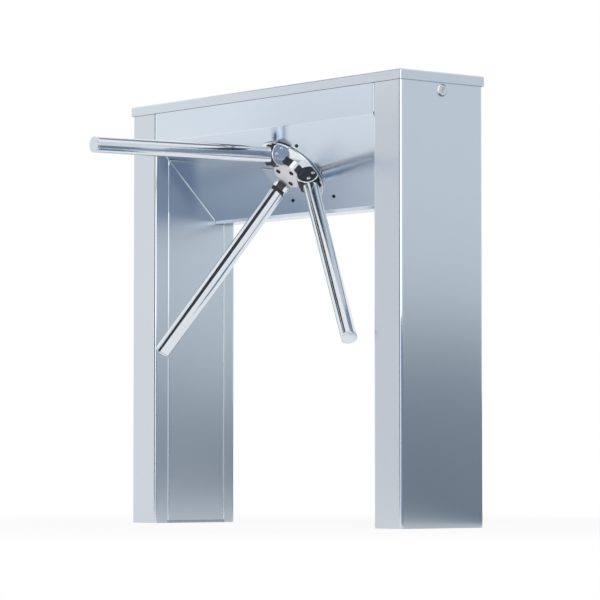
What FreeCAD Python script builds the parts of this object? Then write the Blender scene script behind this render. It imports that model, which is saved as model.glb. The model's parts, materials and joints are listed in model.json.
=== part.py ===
import FreeCAD, Part
import math
import os
from FreeCAD import Vector as V

# Tripod turnstile: a portal cabinet of bent stainless sheet with a sloping mechanism plate,
# a lift-off lid, and a three-armed rotor whose axis leans 45 degrees out of the slope.
# Millimetres. X runs along the cabinet, -Y is the passage side, +Z is up.
# The origin is on the floor, at the centre of the four anchor holes.

# Cabinet
LENGTH = 1036.0            # over the outer faces of the legs
DEPTH = 250.0              # front face to back face
HEIGHT = 1045.0            # floor to the top of the lid
LEG_WIDTH = 96.0           # front face of one leg
SHEET = 1.5                # stainless sheet
LEG_BEND = 6.0             # outer bend radius of the leg shells
COVER_BEND = 5.0           # outer bend radius of the leg covers
PANEL_BEND = 3.0           # outer bend radius of the panels
FRONT_RETURN = 39.0        # leg shell folded on to the inner face, at the front
REAR_RETURN = 33.0         # and at the back
SEAM = 0.4                 # open seam between a panel and a leg
COVER_SEAM = 0.5           # open seam round a leg cover
COVER_FLANGE = 12.0        # folded edge of a leg cover
FASCIA_HEIGHT = 72.0       # lid's lower edge to the start of the slope
BEHIND_SLOPE = 62.0        # depth left behind the 45 degree slope
LIP = 8.0                  # upright lip under the slope
LIP_GAP = 0.2              # lip to the underside's upturned edge
UPTURN = 15.0              # that upturned edge
TOP_FLANGE = 20.0          # flanges that carry the lid
END_FLANGE = 25.0          # flanges that bolt the panels to the legs
BEND_RELIEF = 5.0          # left free at the ends of an end flange

# Lid
LID_SKIRT = 24.0
LID_OVERHANG = 4.0
LID_BEND = 4.0
LID_REST_GAP = 0.5         # leg tops stay this far under the lid
LOCATOR_WIDTH = 40.0
LOCATOR_SPACING = 120.0
LOCATOR_DROP = 28.0
LOCATOR_FLANGE = 15.0
LOCATOR_PLAY = 0.3

# Feet and beam ends
BASE_THICK = 6.0
BASE_PLAY = 0.2
BASE_CORNER = 4.0
ANCHOR_Y = 170.0           # anchor spacing across the cabinet
ANCHOR_R = 7.0
GROMMET_R = 18.0           # cable entry in the right foot
GROMMET_LIP = 4.0
GROMMET_LIP_THICK = 3.0
GROMMET_BORE = 13.0
GROMMET_TAPER = 1.0
GROMMET_LIFT = 0.5         # clear of the floor
BRACKET_THICK = 4.0
BRACKET_INSET = 7.0        # bracket edge to the cabinet's outer faces
BRACKET_CABLE_R = 24.0
BOLT_R = 4.0
BOLT_HEAD_AF = 13.0
BOLT_HEAD = 5.3
BOLT_END = 8.0             # bolt standing out past the flange
NUT_THICK = 6.5
FRONT_BOLTS = (14.0, 50.0)         # heights below the lid's lower edge
BACK_BOLTS = (30.0, 120.0, 220.0)
BOLT_INSET = 14.0          # bolt line to the cabinet's outer face
FIT = 0.05                 # radial clearance of pins, screws and shafts
PASS = 1.0                 # how far a cutting shape runs past the faces it opens

# Lock in the right end face
LOCK_DROP = 18.0           # below the lid's lower edge
LOCK_BEZEL_R = 14.5
LOCK_BEZEL = 3.4
LOCK_BEZEL_EDGE = 1.4      # upright rim under the bezel's dome
LOCK_BEZEL_DOME = 2.7
LOCK_R = 9.5
LOCK_LENGTH = 24.0
LOCK_NUT_AF = 27.0
LOCK_NUT = 5.0
PLUG_R = 6.5
PLUG_SINK = 1.0            # plug face below the bezel's face
KEYWAY = (1.6, 8.0, 3.0)   # width, height, depth
TAIL_R = 4.0
TAIL = 9.0
CAM_THICK = 3.0
CAM_WIDTH = 10.0
CAM_REACH = 24.0
CAM_BOSS_R = 6.0
STRIKE_OFFSET = 16.0       # lock axis to the strike plate
STRIKE_WIDTH = 34.0
STRIKE_FOOT = 10.0         # plate left under the window
STRIKE_WINDOW_PLAY = 1.5
STRIKE_FLANGE = 14.0

# Rotor axis, at right angles to the slope
HUB_BELOW_MIDDLE = 3.0     # axis below the middle of the slope, along it
PLATE_HOLE_R = 40.0
APEX_DEPTH = 52.5          # where the arm axes meet, behind the slope's face
ARM_ANGLE = 44.2           # between an arm and the rotor axis
ARM_REACH = 612.0          # apex to the arm's tip
REST_TURN = 1.2            # hub on its shaft, at rest
ARMS = 3

# Hub
DISC_R = 94.0
DISC_GAP = 1.0             # slope to the back of the disc
DISC_THICK = 4.0
DISC_EDGE = 1.2
BOSS_R = 30.0
NOSE_R = 38.0
NOSE_HEIGHT = 14.0         # over the disc's face
NOSE_WALL = 3.0
NOSE_EDGE = 3.0
NOSE_SCREW_PITCH_R = 24.5
NOSE_SCREW_TURN = -15.0    # from midway between the arms
NOSE_SCREW_R = 2.5
NOSE_SCREW_HEAD_R = 5.5
NOSE_SCREW_HEAD = 2.4
NOSE_SCREW_DEPTH = 8.0
HUB_BOLT_PITCH_R = 15.0
HUB_BOLT_HEAD_R = 6.5
HUB_BOLT_HEAD = 7.0
HUB_BOLT_SINK = 3.0        # metal left under a bolt head's seat
HUB_BOLT_GRIP = 9.0        # thread in the shaft flange
HUB_BOLT_HEAD_PLAY = 0.1
KNUCKLE_R = 28.0
KNUCKLE_THICK = 36.0
KNUCKLE_EDGE = 3.0
KNUCKLE_PLAY = 0.3         # to the nose cap, and to the arm's coped end
PIN_ALONG = 13.5           # cross pin, along the arm from the knuckle's centre
PIN_R = 2.5
PIN_HEAD_R = 4.2
PIN_HEAD = 1.0
ARM_R = 19.0
ARM_WALL = 2.0
SPIGOT_R = 9.0
SPIGOT_START = 9.2
SPIGOT_END = 90.0
ARM_PLUG = 4.0
ARM_PLUG_CHAMFER = 1.0
ARM_PLUG_SPIGOT = 20.0

# Shaft, bearings and housing, counted inward from the slope's face
SHAFT_R = 15.0
SHAFT_FLANGE_R = 32.0
SHAFT_FLANGE_GAP = 0.6     # shaft flange to the housing
SHOULDER_R = 18.0
SHAFT_TAIL = 4.5           # past the nut
MECH_PLATE = 8.0
MECH_PLATE_SIZE = 200.0
MECH_CORNER = 14.0
SLOPE_SCREW_X = 157.0      # spacing of the screws in the slope
SLOPE_SCREW_Y = 162.0
SLOPE_SCREW_ASIDE = 6.0    # middle of their pattern from the rotor axis, to the lock's end
SLOPE_SCREW_BELOW = 9.0    # and down the slope
SLOPE_SCREW_R = 2.5
SLOPE_SCREW_HEAD_R = 4.2
SLOPE_SCREW_HEAD = 2.6
PLATE_SCREW_R = 3.0
PLATE_SCREW_HEAD_R = 5.0
HOUSING_FLANGE_R = 65.0
HOUSING_FLANGE = 10.0
HOUSING_R = 42.0
HOUSING_LENGTH = 60.5
HOUSING_BORE_R = 26.0
HOUSING_SCREW_PITCH_R = 55.0
HOUSING_SCREWS = 6
BEARING_R = 31.0
BEARING_WIDTH = 16.0
BEARING_SINK = 2.5         # front bearing behind the housing's front face
RACE = 5.0                 # thickness of a bearing ring
HOUSING_SCREW_HEAD = 6.0
CARRIER_SCREW_HEAD = 3.0
SHIELD_SINK = 0.8

# Carrier behind the housing, with the drive and the locks
CARRIER = 8.0
CARRIER_HALF = 168.0
CARRIER_LOW = 76.0
CARRIER_HIGH = 112.0
CARRIER_CORNER = 10.0
CARRIER_HOLE_R = 22.0
CARRIER_SCREW_PITCH_R = 36.5
CARRIER_SCREWS = 4
CARRIER_SCREW_TURN = 45.0
SPACER_R = 20.0
GEAR_BACK = 6.0            # carrier to the ring gear
GEAR_FACE = 12.0
MODULE = 2.0
GEAR_TEETH = 60
PINION_TEETH = 20
PRESSURE = 20.0
BACKLASH = 0.5
GEAR_WINDOW_R = 9.0
GEAR_WINDOW_PITCH_R = 36.0
GEAR_WINDOWS = 6
MOTOR_R = 28.0
MOTOR_LENGTH = 44.0
MOTOR_FLANGE = 5.0
MOTOR_STEP = 2.0           # flange over the can
MOTOR_CHAMFER = 3.0
MOTOR_SHAFT_R = 5.0
MOTOR_SHAFT_GRIP = 20.0
MOTOR_HOLE_PLAY = 1.0
WHEEL_BACK = 8.0           # ring gear to the lock wheel
WHEEL_FACE = 10.0
WHEEL_R = 55.0
WHEEL_NOTCHES = 12
NOTCH_DEPTH = 9.0
NOTCH_WIDTH = 12.0
ENCODER_BACK = 8.0
ENCODER = 1.5
ENCODER_R = 45.0
ENCODER_SLOTS = 12
ENCODER_SLOT = (3.0, 8.0)
SHAFT_NUT = 10.0
SHAFT_NUT_AF = 46.0

# Locking pawls and solenoids
PAWL_X = 70.0              # pawl centre line, either side of the axis
PAWL_PIVOT_Y = 62.0        # below the axis
PAWL_TAIL_Y = 35.0         # plunger above the axis
PAWL_HALF = 6.0
PAWL_TIP_GAP = 1.5         # pawl tooth to the lock wheel, unlocked
PAWL_TOOTH = 8.0
PAWL_TOOTH_LIFT = 2.0      # tooth above the axis while unlocked, level with it when swung in
PAWL_EYE_R = 11.0
PAWL_PIN_R = 5.0
PAWL_PIN_SHOULDER_R = 9.0
PAWL_PIN_HEAD_R = 8.0
PAWL_PIN_HEAD = 3.5
PAWL_PIN_SINK = 1.0        # pin's end below the carrier's front face
PAWL_SIDE_PLAY = 0.3
LINK_PIN_R = 3.0
LINK_SLOT_PLAY = 0.3
LINK_SLOT_TRAVEL = 2.0
CLEVIS = 3.5
CLEVIS_REACH = 7.0
CLEVIS_HALF = 6.5
PLUNGER_R = 6.0
PLUNGER_GRIP = 34.0
SOLENOID = (52.0, 34.0, 42.0)
SOLENOID_NEAR = 113.0      # rotor axis to the solenoid's face

# Position sensor
SENSOR_HALF = 10.0
SENSOR_NEAR = 68.0
SENSOR_POST = 9.0
SENSOR_REACH = 30.0
SENSOR_FINGER = 2.5
SENSOR_GAP = 1.0           # each side of the encoder disc
SENSOR_TURN = 30.0         # from straight up the slope, clear of the pinion

# Electronics on the back panel
BOARD = (160.0, 120.0, 1.6)
BOARD_FROM_LEG = 102.0
BOARD_DROP = 101.0         # board's middle below the lid's lower edge
STANDOFF = 10.0
STANDOFF_R = 4.0
STANDOFF_INSET = 8.0
TERMINAL = (70.0, 14.0, 12.0)
TERMINAL_EDGE = 6.0
SUPPLY = (160.0, 38.0, 98.0)
SUPPLY_FROM_LEG = 102.0
SUPPLY_DROP = 111.0
SUPPLY_EDGE = 3.0

# Places that follow from the sizes above
HALF_L = LENGTH / 2
HALF_D = DEPTH / 2
ROOT2 = math.sqrt(2)
ANCHOR_X = LENGTH - LEG_WIDTH
SLOPE_RUN = DEPTH - BEHIND_SLOPE
INNER_X = HALF_L - LEG_WIDTH
LID_LOW = HEIGHT - LID_SKIRT
LID_UNDER = HEIGHT - SHEET
LEG_TOP = LID_UNDER - LID_REST_GAP
SLOPE_TOP = LID_LOW - FASCIA_HEIGHT
SLOPE_LOW = SLOPE_TOP - SLOPE_RUN
SLOPE_BACK_Y = SLOPE_RUN - HALF_D
UNDERSIDE = SLOPE_LOW - LIP
PANEL_END = INNER_X - SEAM
LOCK_Z = LID_LOW - LOCK_DROP
HUB_ALONG_SLOPE = SLOPE_RUN * ROOT2 / 2 + HUB_BELOW_MIDDLE
AXIS_POINT = V(0, HUB_ALONG_SLOPE / ROOT2 - HALF_D, SLOPE_TOP - HUB_ALONG_SLOPE / ROOT2)
AXIS_OUT = V(0, -1 / ROOT2, -1 / ROOT2)
SLOPE_UP = V(0, -1 / ROOT2, 1 / ROOT2)
HUB_FRAME = FreeCAD.Placement(AXIS_POINT, FreeCAD.Rotation(V(1, 0, 0), SLOPE_UP, AXIS_OUT, "ZXY"))

DISC_FACE = DISC_GAP + DISC_THICK
NOSE_FACE = DISC_FACE + NOSE_HEIGHT
BOSS_FACE = NOSE_FACE - NOSE_WALL
KNUCKLE_PITCH_R = (APEX_DEPTH + DISC_FACE) * math.tan(math.radians(ARM_ANGLE))
KNUCKLE_TO_TIP = ARM_REACH - (APEX_DEPTH + DISC_FACE) / math.cos(math.radians(ARM_ANGLE))
HOUSING_FRONT = SHEET + MECH_PLATE
HOUSING_REAR = HOUSING_FRONT + HOUSING_LENGTH
SHAFT_FLANGE_END = HOUSING_FRONT - SHAFT_FLANGE_GAP
FRONT_BEARING = HOUSING_FRONT + BEARING_SINK
REAR_BEARING = HOUSING_REAR - BEARING_WIDTH
CARRIER_REAR = HOUSING_REAR + CARRIER
GEAR_FRONT = CARRIER_REAR + GEAR_BACK
GEAR_REAR = GEAR_FRONT + GEAR_FACE
WHEEL_FRONT = GEAR_REAR + WHEEL_BACK
WHEEL_REAR = WHEEL_FRONT + WHEEL_FACE
ENCODER_FRONT = WHEEL_REAR + ENCODER_BACK
ENCODER_REAR = ENCODER_FRONT + ENCODER
SHAFT_END = ENCODER_REAR + SHAFT_NUT + SHAFT_TAIL
GEAR_CENTRES = MODULE * (GEAR_TEETH + PINION_TEETH) / 2
PAWL_MIDDLE = (WHEEL_FRONT + WHEEL_REAR) / 2
BOARD_X = INNER_X - BOARD_FROM_LEG
BOARD_Z = LID_LOW - BOARD_DROP
SUPPLY_X = SUPPLY_FROM_LEG - INNER_X
SUPPLY_Z = LID_LOW - SUPPLY_DROP


def rounded(points, radii):
    """Edges along a polyline, with tangent arcs of the given radii at its inner corners."""
    edges = []
    start = points[0]
    for i in range(1, len(points) - 1):
        corner = points[i]
        to_last = (points[i - 1] - corner).normalize()
        to_next = (points[i + 1] - corner).normalize()
        half = to_last.getAngle(to_next) / 2
        radius = radii[i - 1]
        bisector = (to_last + to_next).normalize()
        tangent = radius / math.tan(half)
        arc_start = corner + to_last * tangent
        arc_end = corner + to_next * tangent
        arc_middle = corner + bisector * (radius / math.sin(half) - radius)
        edges.append(Part.LineSegment(start, arc_start).toShape())
        edges.append(Part.Arc(arc_start, arc_middle, arc_end).toShape())
        start = arc_end
    edges.append(Part.LineSegment(start, points[-1]).toShape())
    return edges


def bent_sheet(points, normal, side, bend, run):
    """Sheet metal folded along points on its visible face, thickened to one side, run along a vector."""
    directions = [(b - a).normalize() for a, b in zip(points, points[1:])]
    inward = [normal.cross(d) * side for d in directions]
    back = [points[0] + inward[0] * SHEET]
    face_radii = []
    back_radii = []
    for i in range(1, len(directions)):
        bisector = inward[i - 1] + inward[i]
        back.append(points[i] + bisector * (2 * SHEET / bisector.dot(bisector)))
        folds_inward = directions[i].dot(inward[i - 1]) > 0
        face_radii.append(bend if folds_inward else bend - SHEET)
        back_radii.append(bend - SHEET if folds_inward else bend)
    back.append(points[-1] + inward[-1] * SHEET)
    edges = rounded(points, face_radii)
    edges.append(Part.LineSegment(points[-1], back[-1]).toShape())
    edges += rounded(back[::-1], back_radii[::-1])
    edges.append(Part.LineSegment(back[0], points[0]).toShape())
    return Part.Face(Part.Wire(Part.__sortEdges__(edges))).extrude(run)


def prism(points, run):
    """A closed outline of straight lines, run along a vector."""
    return Part.Face(Part.makePolygon(points + points[:1])).extrude(run)


def block(low, high):
    """A box between two corners."""
    size = high - low
    return Part.makeBox(size.x, size.y, size.z, low)


def rod(radius, start, length, axis=V(0, 0, 1)):
    return Part.makeCylinder(radius, length, start, axis)


def hexagon(across_flats, start, length, axis):
    """A hexagonal prism on an axis."""
    corner_r = across_flats / math.sqrt(3)
    points = [V(corner_r * math.cos(math.radians(60 * i)), corner_r * math.sin(math.radians(60 * i)), 0)
              for i in range(6)]
    shape = prism(points, V(0, 0, length))
    shape.Placement = FreeCAD.Placement(start, FreeCAD.Rotation(V(0, 0, 1), axis))
    return shape


def plate(low_x, low_y, high_x, high_y, corner, z, thick):
    """A flat plate with rounded corners, its face at z and its back at z - thick."""
    body = block(V(low_x, low_y, z - thick), V(high_x, high_y, z))
    upright = [e for e in body.Edges if abs(e.tangentAt(e.FirstParameter).z) > 0.9]
    return body.makeFillet(corner, upright)


def turned(profile):
    """A solid of revolution about the local Z axis, from (radius, z) points."""
    points = [V(r, 0, z) for r, z in profile]
    return Part.Face(Part.makePolygon(points + points[:1])).revolve(V(0, 0, 0), V(0, 0, 1), 360)


def ring(outer, inner, front, rear):
    """A plain ring on the local axis, between two depths behind the slope's face."""
    long = rear - front
    return rod(outer, V(0, 0, -rear), long).cut(rod(inner, V(0, 0, -rear - PASS), long + 2 * PASS))


def round_about(shape, count, first=0.0):
    """Copies of a shape spaced evenly about the local axis."""
    copies = []
    for i in range(count):
        copy = shape.copy()
        copy.rotate(V(0, 0, 0), V(0, 0, 1), first + 360 * i / count)
        copies.append(copy)
    return copies


def at_hub(shape, turn=0.0):
    """Moves a shape from the rotor's own frame to its place on the slope."""
    placed = shape.copy()
    placed.rotate(V(0, 0, 0), V(0, 0, 1), turn)
    placed.Placement = HUB_FRAME.multiply(placed.Placement)
    return placed


def bolt_places():
    """Where the panels bolt to the legs, as (y, z) pairs."""
    front = [(-HALF_D + BOLT_INSET, LID_LOW - drop) for drop in FRONT_BOLTS]
    back = [(HALF_D - BOLT_INSET, LID_LOW - drop) for drop in BACK_BOLTS]
    return front + back


def bolt_holes(low_x, high_x):
    """Clearance holes for the panel bolts between two X positions."""
    low, high = min(low_x, high_x), max(low_x, high_x)
    return [rod(BOLT_R + FIT, V(low, y, z), high - low, V(1, 0, 0)) for y, z in bolt_places()]


def leg_shell(side):
    """One sheet folded round front, outer side and back, and returned on to the inner face."""
    inner = side * INNER_X
    outer = side * HALF_L
    points = [
        V(inner, -HALF_D + FRONT_RETURN, 0),
        V(inner, -HALF_D, 0),
        V(outer, -HALF_D, 0),
        V(outer, HALF_D, 0),
        V(inner, HALF_D, 0),
        V(inner, HALF_D - REAR_RETURN, 0),
    ]
    shell = bent_sheet(points, V(0, 0, 1), side, LEG_BEND, V(0, 0, LEG_TOP))
    shell = shell.cut(bolt_holes(inner - side * SHEET, inner + side * 2 * SHEET))
    if side > 0:
        shell = shell.cut(rod(LOCK_R + FIT, V(outer - 2 * SHEET, 0, LOCK_Z), 3 * SHEET, V(1, 0, 0)))
    return shell


def under_beam(gap):
    """The space under the slope and the beam, less a gap, as a long block along X."""
    lean = gap * ROOT2
    lip_y = SLOPE_BACK_Y - gap
    slope_sum = SLOPE_TOP - HALF_D - lean
    points = [
        V(-LENGTH, -DEPTH, 0),
        V(-LENGTH, DEPTH, 0),
        V(-LENGTH, DEPTH, UNDERSIDE - gap),
        V(-LENGTH, lip_y, UNDERSIDE - gap),
        V(-LENGTH, lip_y, slope_sum - lip_y),
        V(-LENGTH, -DEPTH, slope_sum + DEPTH),
    ]
    return prism(points, V(2 * LENGTH, 0, 0))


def leg_cover(side):
    """Folded tray that closes the inner face between the returns, cut to the beam above it."""
    face = side * INNER_X
    deep = face + side * COVER_FLANGE
    front = -HALF_D + FRONT_RETURN + COVER_SEAM
    back = HALF_D - REAR_RETURN - COVER_SEAM
    foot = BASE_THICK + COVER_SEAM
    points = [V(deep, front, foot), V(face, front, foot), V(face, back, foot), V(deep, back, foot)]
    tray = bent_sheet(points, V(0, 0, 1), -side, COVER_BEND, V(0, 0, SLOPE_TOP))
    return tray.common(under_beam(COVER_SEAM))


def base_plate(side):
    """Foot inside the leg, with two anchor holes; the right one also takes the cables."""
    near = INNER_X + SHEET + BASE_PLAY
    far = HALF_L - SHEET - BASE_PLAY
    half_y = HALF_D - SHEET - BASE_PLAY
    low_x, high_x = sorted((side * near, side * far))
    foot = plate(low_x, -half_y, high_x, half_y, BASE_CORNER, BASE_THICK, BASE_THICK)
    anchor_x = side * ANCHOR_X / 2
    for y in (-ANCHOR_Y / 2, ANCHOR_Y / 2):
        foot = foot.cut(rod(ANCHOR_R, V(anchor_x, y, -PASS), BASE_THICK + 2 * PASS))
    if side > 0:
        foot = foot.cut(rod(GROMMET_R, V(anchor_x, 0, -PASS), BASE_THICK + 2 * PASS))
    return foot


def cable_grommet():
    """Rubber edging in the right foot's cable hole, its lip on the plate."""
    body = turned([
        (GROMMET_BORE, GROMMET_LIFT),
        (GROMMET_R - FIT, GROMMET_LIFT),
        (GROMMET_R - FIT, BASE_THICK),
        (GROMMET_R + GROMMET_LIP, BASE_THICK),
        (GROMMET_R + GROMMET_LIP - GROMMET_TAPER, BASE_THICK + GROMMET_LIP_THICK),
        (GROMMET_BORE, BASE_THICK + GROMMET_LIP_THICK),
    ])
    body.translate(V(ANCHOR_X / 2, 0, 0))
    return body


def beam_bracket(side):
    """End plate inside a leg, shaped to the beam, that the panels bolt to."""
    x = side * (INNER_X + SHEET)
    slope_sum = SLOPE_TOP - HALF_D + BRACKET_INSET * ROOT2
    low = UNDERSIDE + BRACKET_INSET
    front = -HALF_D + BRACKET_INSET
    back = HALF_D - BRACKET_INSET
    top = LEG_TOP - BRACKET_INSET
    points = [
        V(x, front, slope_sum - front),
        V(x, front, top),
        V(x, back, top),
        V(x, back, low),
        V(x, slope_sum - low, low),
    ]
    bracket = prism(points, V(side * BRACKET_THICK, 0, 0))
    bracket = bracket.cut(bolt_holes(x - side * PASS, x + side * (BRACKET_THICK + PASS)))
    middle_z = (SLOPE_TOP + LEG_TOP) / 2
    passage = rod(BRACKET_CABLE_R, V(x - side * PASS, 0, middle_z), BRACKET_THICK + 2 * PASS, V(side, 0, 0))
    return bracket.cut(passage)


def with_end_flanges(panel, face_y, low, high):
    """Folds the ends of an upright panel face inwards, where it bolts to the legs."""
    inward = -math.copysign(1, face_y)
    for end in (-1, 1):
        x = end * PANEL_END
        corner = block(V(min(x, x - end * PANEL_BEND), min(face_y, face_y + inward * SHEET), low),
                       V(max(x, x - end * PANEL_BEND), max(face_y, face_y + inward * SHEET), high))
        points = [
            V(x - end * 2 * PANEL_BEND, face_y, low),
            V(x, face_y, low),
            V(x, face_y + inward * END_FLANGE, low),
        ]
        flange = bent_sheet(points, V(0, 0, 1), end * inward, PANEL_BEND, V(0, 0, high - low))
        panel = panel.cut(corner).fuse(flange)
    panel = panel.cut(bolt_holes(-PANEL_END - PASS, -PANEL_END + 2 * SHEET))
    return panel.cut(bolt_holes(PANEL_END - 2 * SHEET, PANEL_END + PASS)).removeSplitter()


def front_panel():
    """Lid flange, fascia, slope and lip, folded from one sheet."""
    points = [
        V(-PANEL_END, -HALF_D + TOP_FLANGE, LID_UNDER),
        V(-PANEL_END, -HALF_D, LID_UNDER),
        V(-PANEL_END, -HALF_D, SLOPE_TOP),
        V(-PANEL_END, SLOPE_BACK_Y, SLOPE_LOW),
        V(-PANEL_END, SLOPE_BACK_Y, UNDERSIDE),
    ]
    panel = bent_sheet(points, V(1, 0, 0), 1, PANEL_BEND, V(2 * PANEL_END, 0, 0))
    panel = with_end_flanges(panel, -HALF_D, SLOPE_TOP + BEND_RELIEF, LID_UNDER - BEND_RELIEF)
    holes = [rod(PLATE_HOLE_R, V(0, 0, -2 * SHEET), 3 * SHEET)]
    holes += [rod(SLOPE_SCREW_R + FIT, V(x, y, -2 * SHEET), 3 * SHEET) for x, y in plate_screw_places()]
    return panel.cut([at_hub(h) for h in holes])


def back_panel():
    """Lid flange, back and underside, folded from one sheet, closing the beam behind the lip."""
    edge = SLOPE_BACK_Y + SHEET + LIP_GAP
    points = [
        V(-PANEL_END, HALF_D - TOP_FLANGE, LID_UNDER),
        V(-PANEL_END, HALF_D, LID_UNDER),
        V(-PANEL_END, HALF_D, UNDERSIDE),
        V(-PANEL_END, edge, UNDERSIDE),
        V(-PANEL_END, edge, UNDERSIDE + UPTURN),
    ]
    panel = bent_sheet(points, V(1, 0, 0), -1, PANEL_BEND, V(2 * PANEL_END, 0, 0))
    return with_end_flanges(panel, HALF_D, UNDERSIDE + BEND_RELIEF, LID_UNDER - BEND_RELIEF)


def beam_bolts():
    """Bolts and nuts that hold the panels to the legs."""
    solids = []
    for side in (-1, 1):
        out = V(side, 0, 0)
        head_x = side * (INNER_X + SHEET + BRACKET_THICK)
        flange_x = side * (PANEL_END - SHEET)
        for y, z in bolt_places():
            shank = rod(BOLT_R, V(flange_x - side * BOLT_END, y, z), abs(head_x - flange_x) + BOLT_END, out)
            solids.append(shank.fuse(hexagon(BOLT_HEAD_AF, V(head_x, y, z), BOLT_HEAD, out)))
            nut = hexagon(BOLT_HEAD_AF, V(flange_x - side * NUT_THICK, y, z), NUT_THICK, out)
            thread = rod(BOLT_R + FIT, V(flange_x - side * 2 * NUT_THICK, y, z), 3 * NUT_THICK, out)
            solids.append(nut.cut(thread))
    return Part.makeCompound(solids)


def rounded_tray(half_x, half_y, low, high, radius):
    """A block whose upright and upper edges are rounded."""
    body = block(V(-half_x, -half_y, low), V(half_x, half_y, high))
    edges = [e for e in body.Edges if e.BoundBox.ZMax > high - 1e-6]
    return body.makeFillet(radius, edges)


def lid():
    """Cap with a skirt all round."""
    half_x = HALF_L + LID_OVERHANG
    half_y = HALF_D + LID_OVERHANG
    outside = rounded_tray(half_x, half_y, LID_LOW, HEIGHT, LID_BEND)
    inside = rounded_tray(half_x - SHEET, half_y - SHEET, LID_LOW - PASS, LID_UNDER, LID_BEND - SHEET)
    return outside.cut(inside)


def lid_locators():
    """Two angles under the lid that drop inside the left leg."""
    x = -HALF_L + SHEET + LOCATOR_PLAY
    solids = []
    for middle in (-LOCATOR_SPACING / 2, LOCATOR_SPACING / 2):
        y = middle - LOCATOR_WIDTH / 2
        points = [
            V(x, y, LID_UNDER - LOCATOR_DROP),
            V(x, y, LID_UNDER),
            V(x + LOCATOR_FLANGE, y, LID_UNDER),
        ]
        solids.append(bent_sheet(points, V(0, 1, 0), 1, PANEL_BEND, V(0, LOCATOR_WIDTH, 0)))
    return Part.makeCompound(solids)


def cam_middle():
    return HALF_L - LOCK_LENGTH - TAIL / 2


def lid_strike():
    """Angle under the lid whose window the lock cam turns into."""
    x = cam_middle() - STRIKE_WIDTH / 2
    window_low = LOCK_Z - CAM_WIDTH / 2 - STRIKE_WINDOW_PLAY
    points = [
        V(x, STRIKE_OFFSET, window_low - STRIKE_FOOT),
        V(x, STRIKE_OFFSET, LID_UNDER),
        V(x, STRIKE_OFFSET + STRIKE_FLANGE, LID_UNDER),
    ]
    angle = bent_sheet(points, V(1, 0, 0), -1, PANEL_BEND, V(STRIKE_WIDTH, 0, 0))
    half = CAM_THICK / 2 + 2 * STRIKE_WINDOW_PLAY
    window = block(V(cam_middle() - half, STRIKE_OFFSET - SHEET, window_low),
                   V(cam_middle() + half, STRIKE_OFFSET + 2 * SHEET, LOCK_Z + CAM_REACH))
    return angle.cut(window)


def along_x(shape, x, z):
    """Turns a shape's local Z to +X and puts its origin on the lock axis line at height z."""
    placed = shape.copy()
    placed.Placement = FreeCAD.Placement(V(x, 0, z), FreeCAD.Rotation(V(0, 0, 1), V(1, 0, 0)))
    return placed


def lock_body():
    """Lock barrel through the end face, with a domed bezel and a bore for the plug."""
    body = turned([
        (PLUG_R + FIT, -LOCK_LENGTH),
        (LOCK_R, -LOCK_LENGTH),
        (LOCK_R, 0),
        (LOCK_BEZEL_R, 0),
        (LOCK_BEZEL_R, LOCK_BEZEL_EDGE),
        (LOCK_BEZEL_R - LOCK_BEZEL_DOME, LOCK_BEZEL),
        (PLUG_R + FIT, LOCK_BEZEL),
    ])
    return along_x(body, HALF_L, LOCK_Z)


def lock_nut():
    """Hexagon nut that holds the lock against the inside of the end face."""
    nut = hexagon(LOCK_NUT_AF, V(0, 0, -SHEET - LOCK_NUT), LOCK_NUT, V(0, 0, 1))
    return along_x(nut.cut(rod(LOCK_R + FIT, V(0, 0, -2 * LOCK_LENGTH), 3 * LOCK_LENGTH)), HALF_L, LOCK_Z)


def lock_plug():
    """Turning plug with a keyway in front and a tail for the cam behind."""
    face = LOCK_BEZEL - PLUG_SINK
    width, height, depth = KEYWAY
    plug = rod(PLUG_R, V(0, 0, -LOCK_LENGTH), LOCK_LENGTH + face)
    plug = plug.cut(block(V(-height / 2, -width / 2, face - depth), V(height / 2, width / 2, face + PASS)))
    plug = plug.fuse(rod(TAIL_R, V(0, 0, -LOCK_LENGTH - TAIL), TAIL))
    return along_x(plug, HALF_L, LOCK_Z)


def lock_cam():
    """Flat cam on the plug's tail, upright while unlocked."""
    x = cam_middle() - CAM_THICK / 2
    reach = block(V(x, -CAM_WIDTH / 2, LOCK_Z), V(x + CAM_THICK, CAM_WIDTH / 2, LOCK_Z + CAM_REACH))
    boss = rod(CAM_BOSS_R, V(x, 0, LOCK_Z), CAM_THICK, V(1, 0, 0))
    bore = rod(TAIL_R + FIT, V(x - PASS, 0, LOCK_Z), CAM_THICK + 2 * PASS, V(1, 0, 0))
    return reach.fuse(boss).cut(bore)


def plate_screw_places():
    """Where the screws in the slope are, as (x, y) pairs in the rotor's own frame."""
    half_x, half_y = SLOPE_SCREW_X / 2, SLOPE_SCREW_Y / 2
    across = (SLOPE_SCREW_ASIDE - half_x, SLOPE_SCREW_ASIDE + half_x)
    along = (-SLOPE_SCREW_BELOW - half_y, -SLOPE_SCREW_BELOW + half_y)
    return [(x, y) for x in across for y in along]


def plate_screws():
    """Screws through the slope that hold the mechanism plate."""
    length = SHEET + MECH_PLATE
    screw = rod(SLOPE_SCREW_R, V(0, 0, -length), length)
    screw = screw.fuse(rod(SLOPE_SCREW_HEAD_R, V(0, 0, 0), SLOPE_SCREW_HEAD))
    solids = []
    for x, y in plate_screw_places():
        copy = screw.copy()
        copy.translate(V(x, y, 0))
        solids.append(copy)
    return Part.makeCompound(solids)


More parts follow.
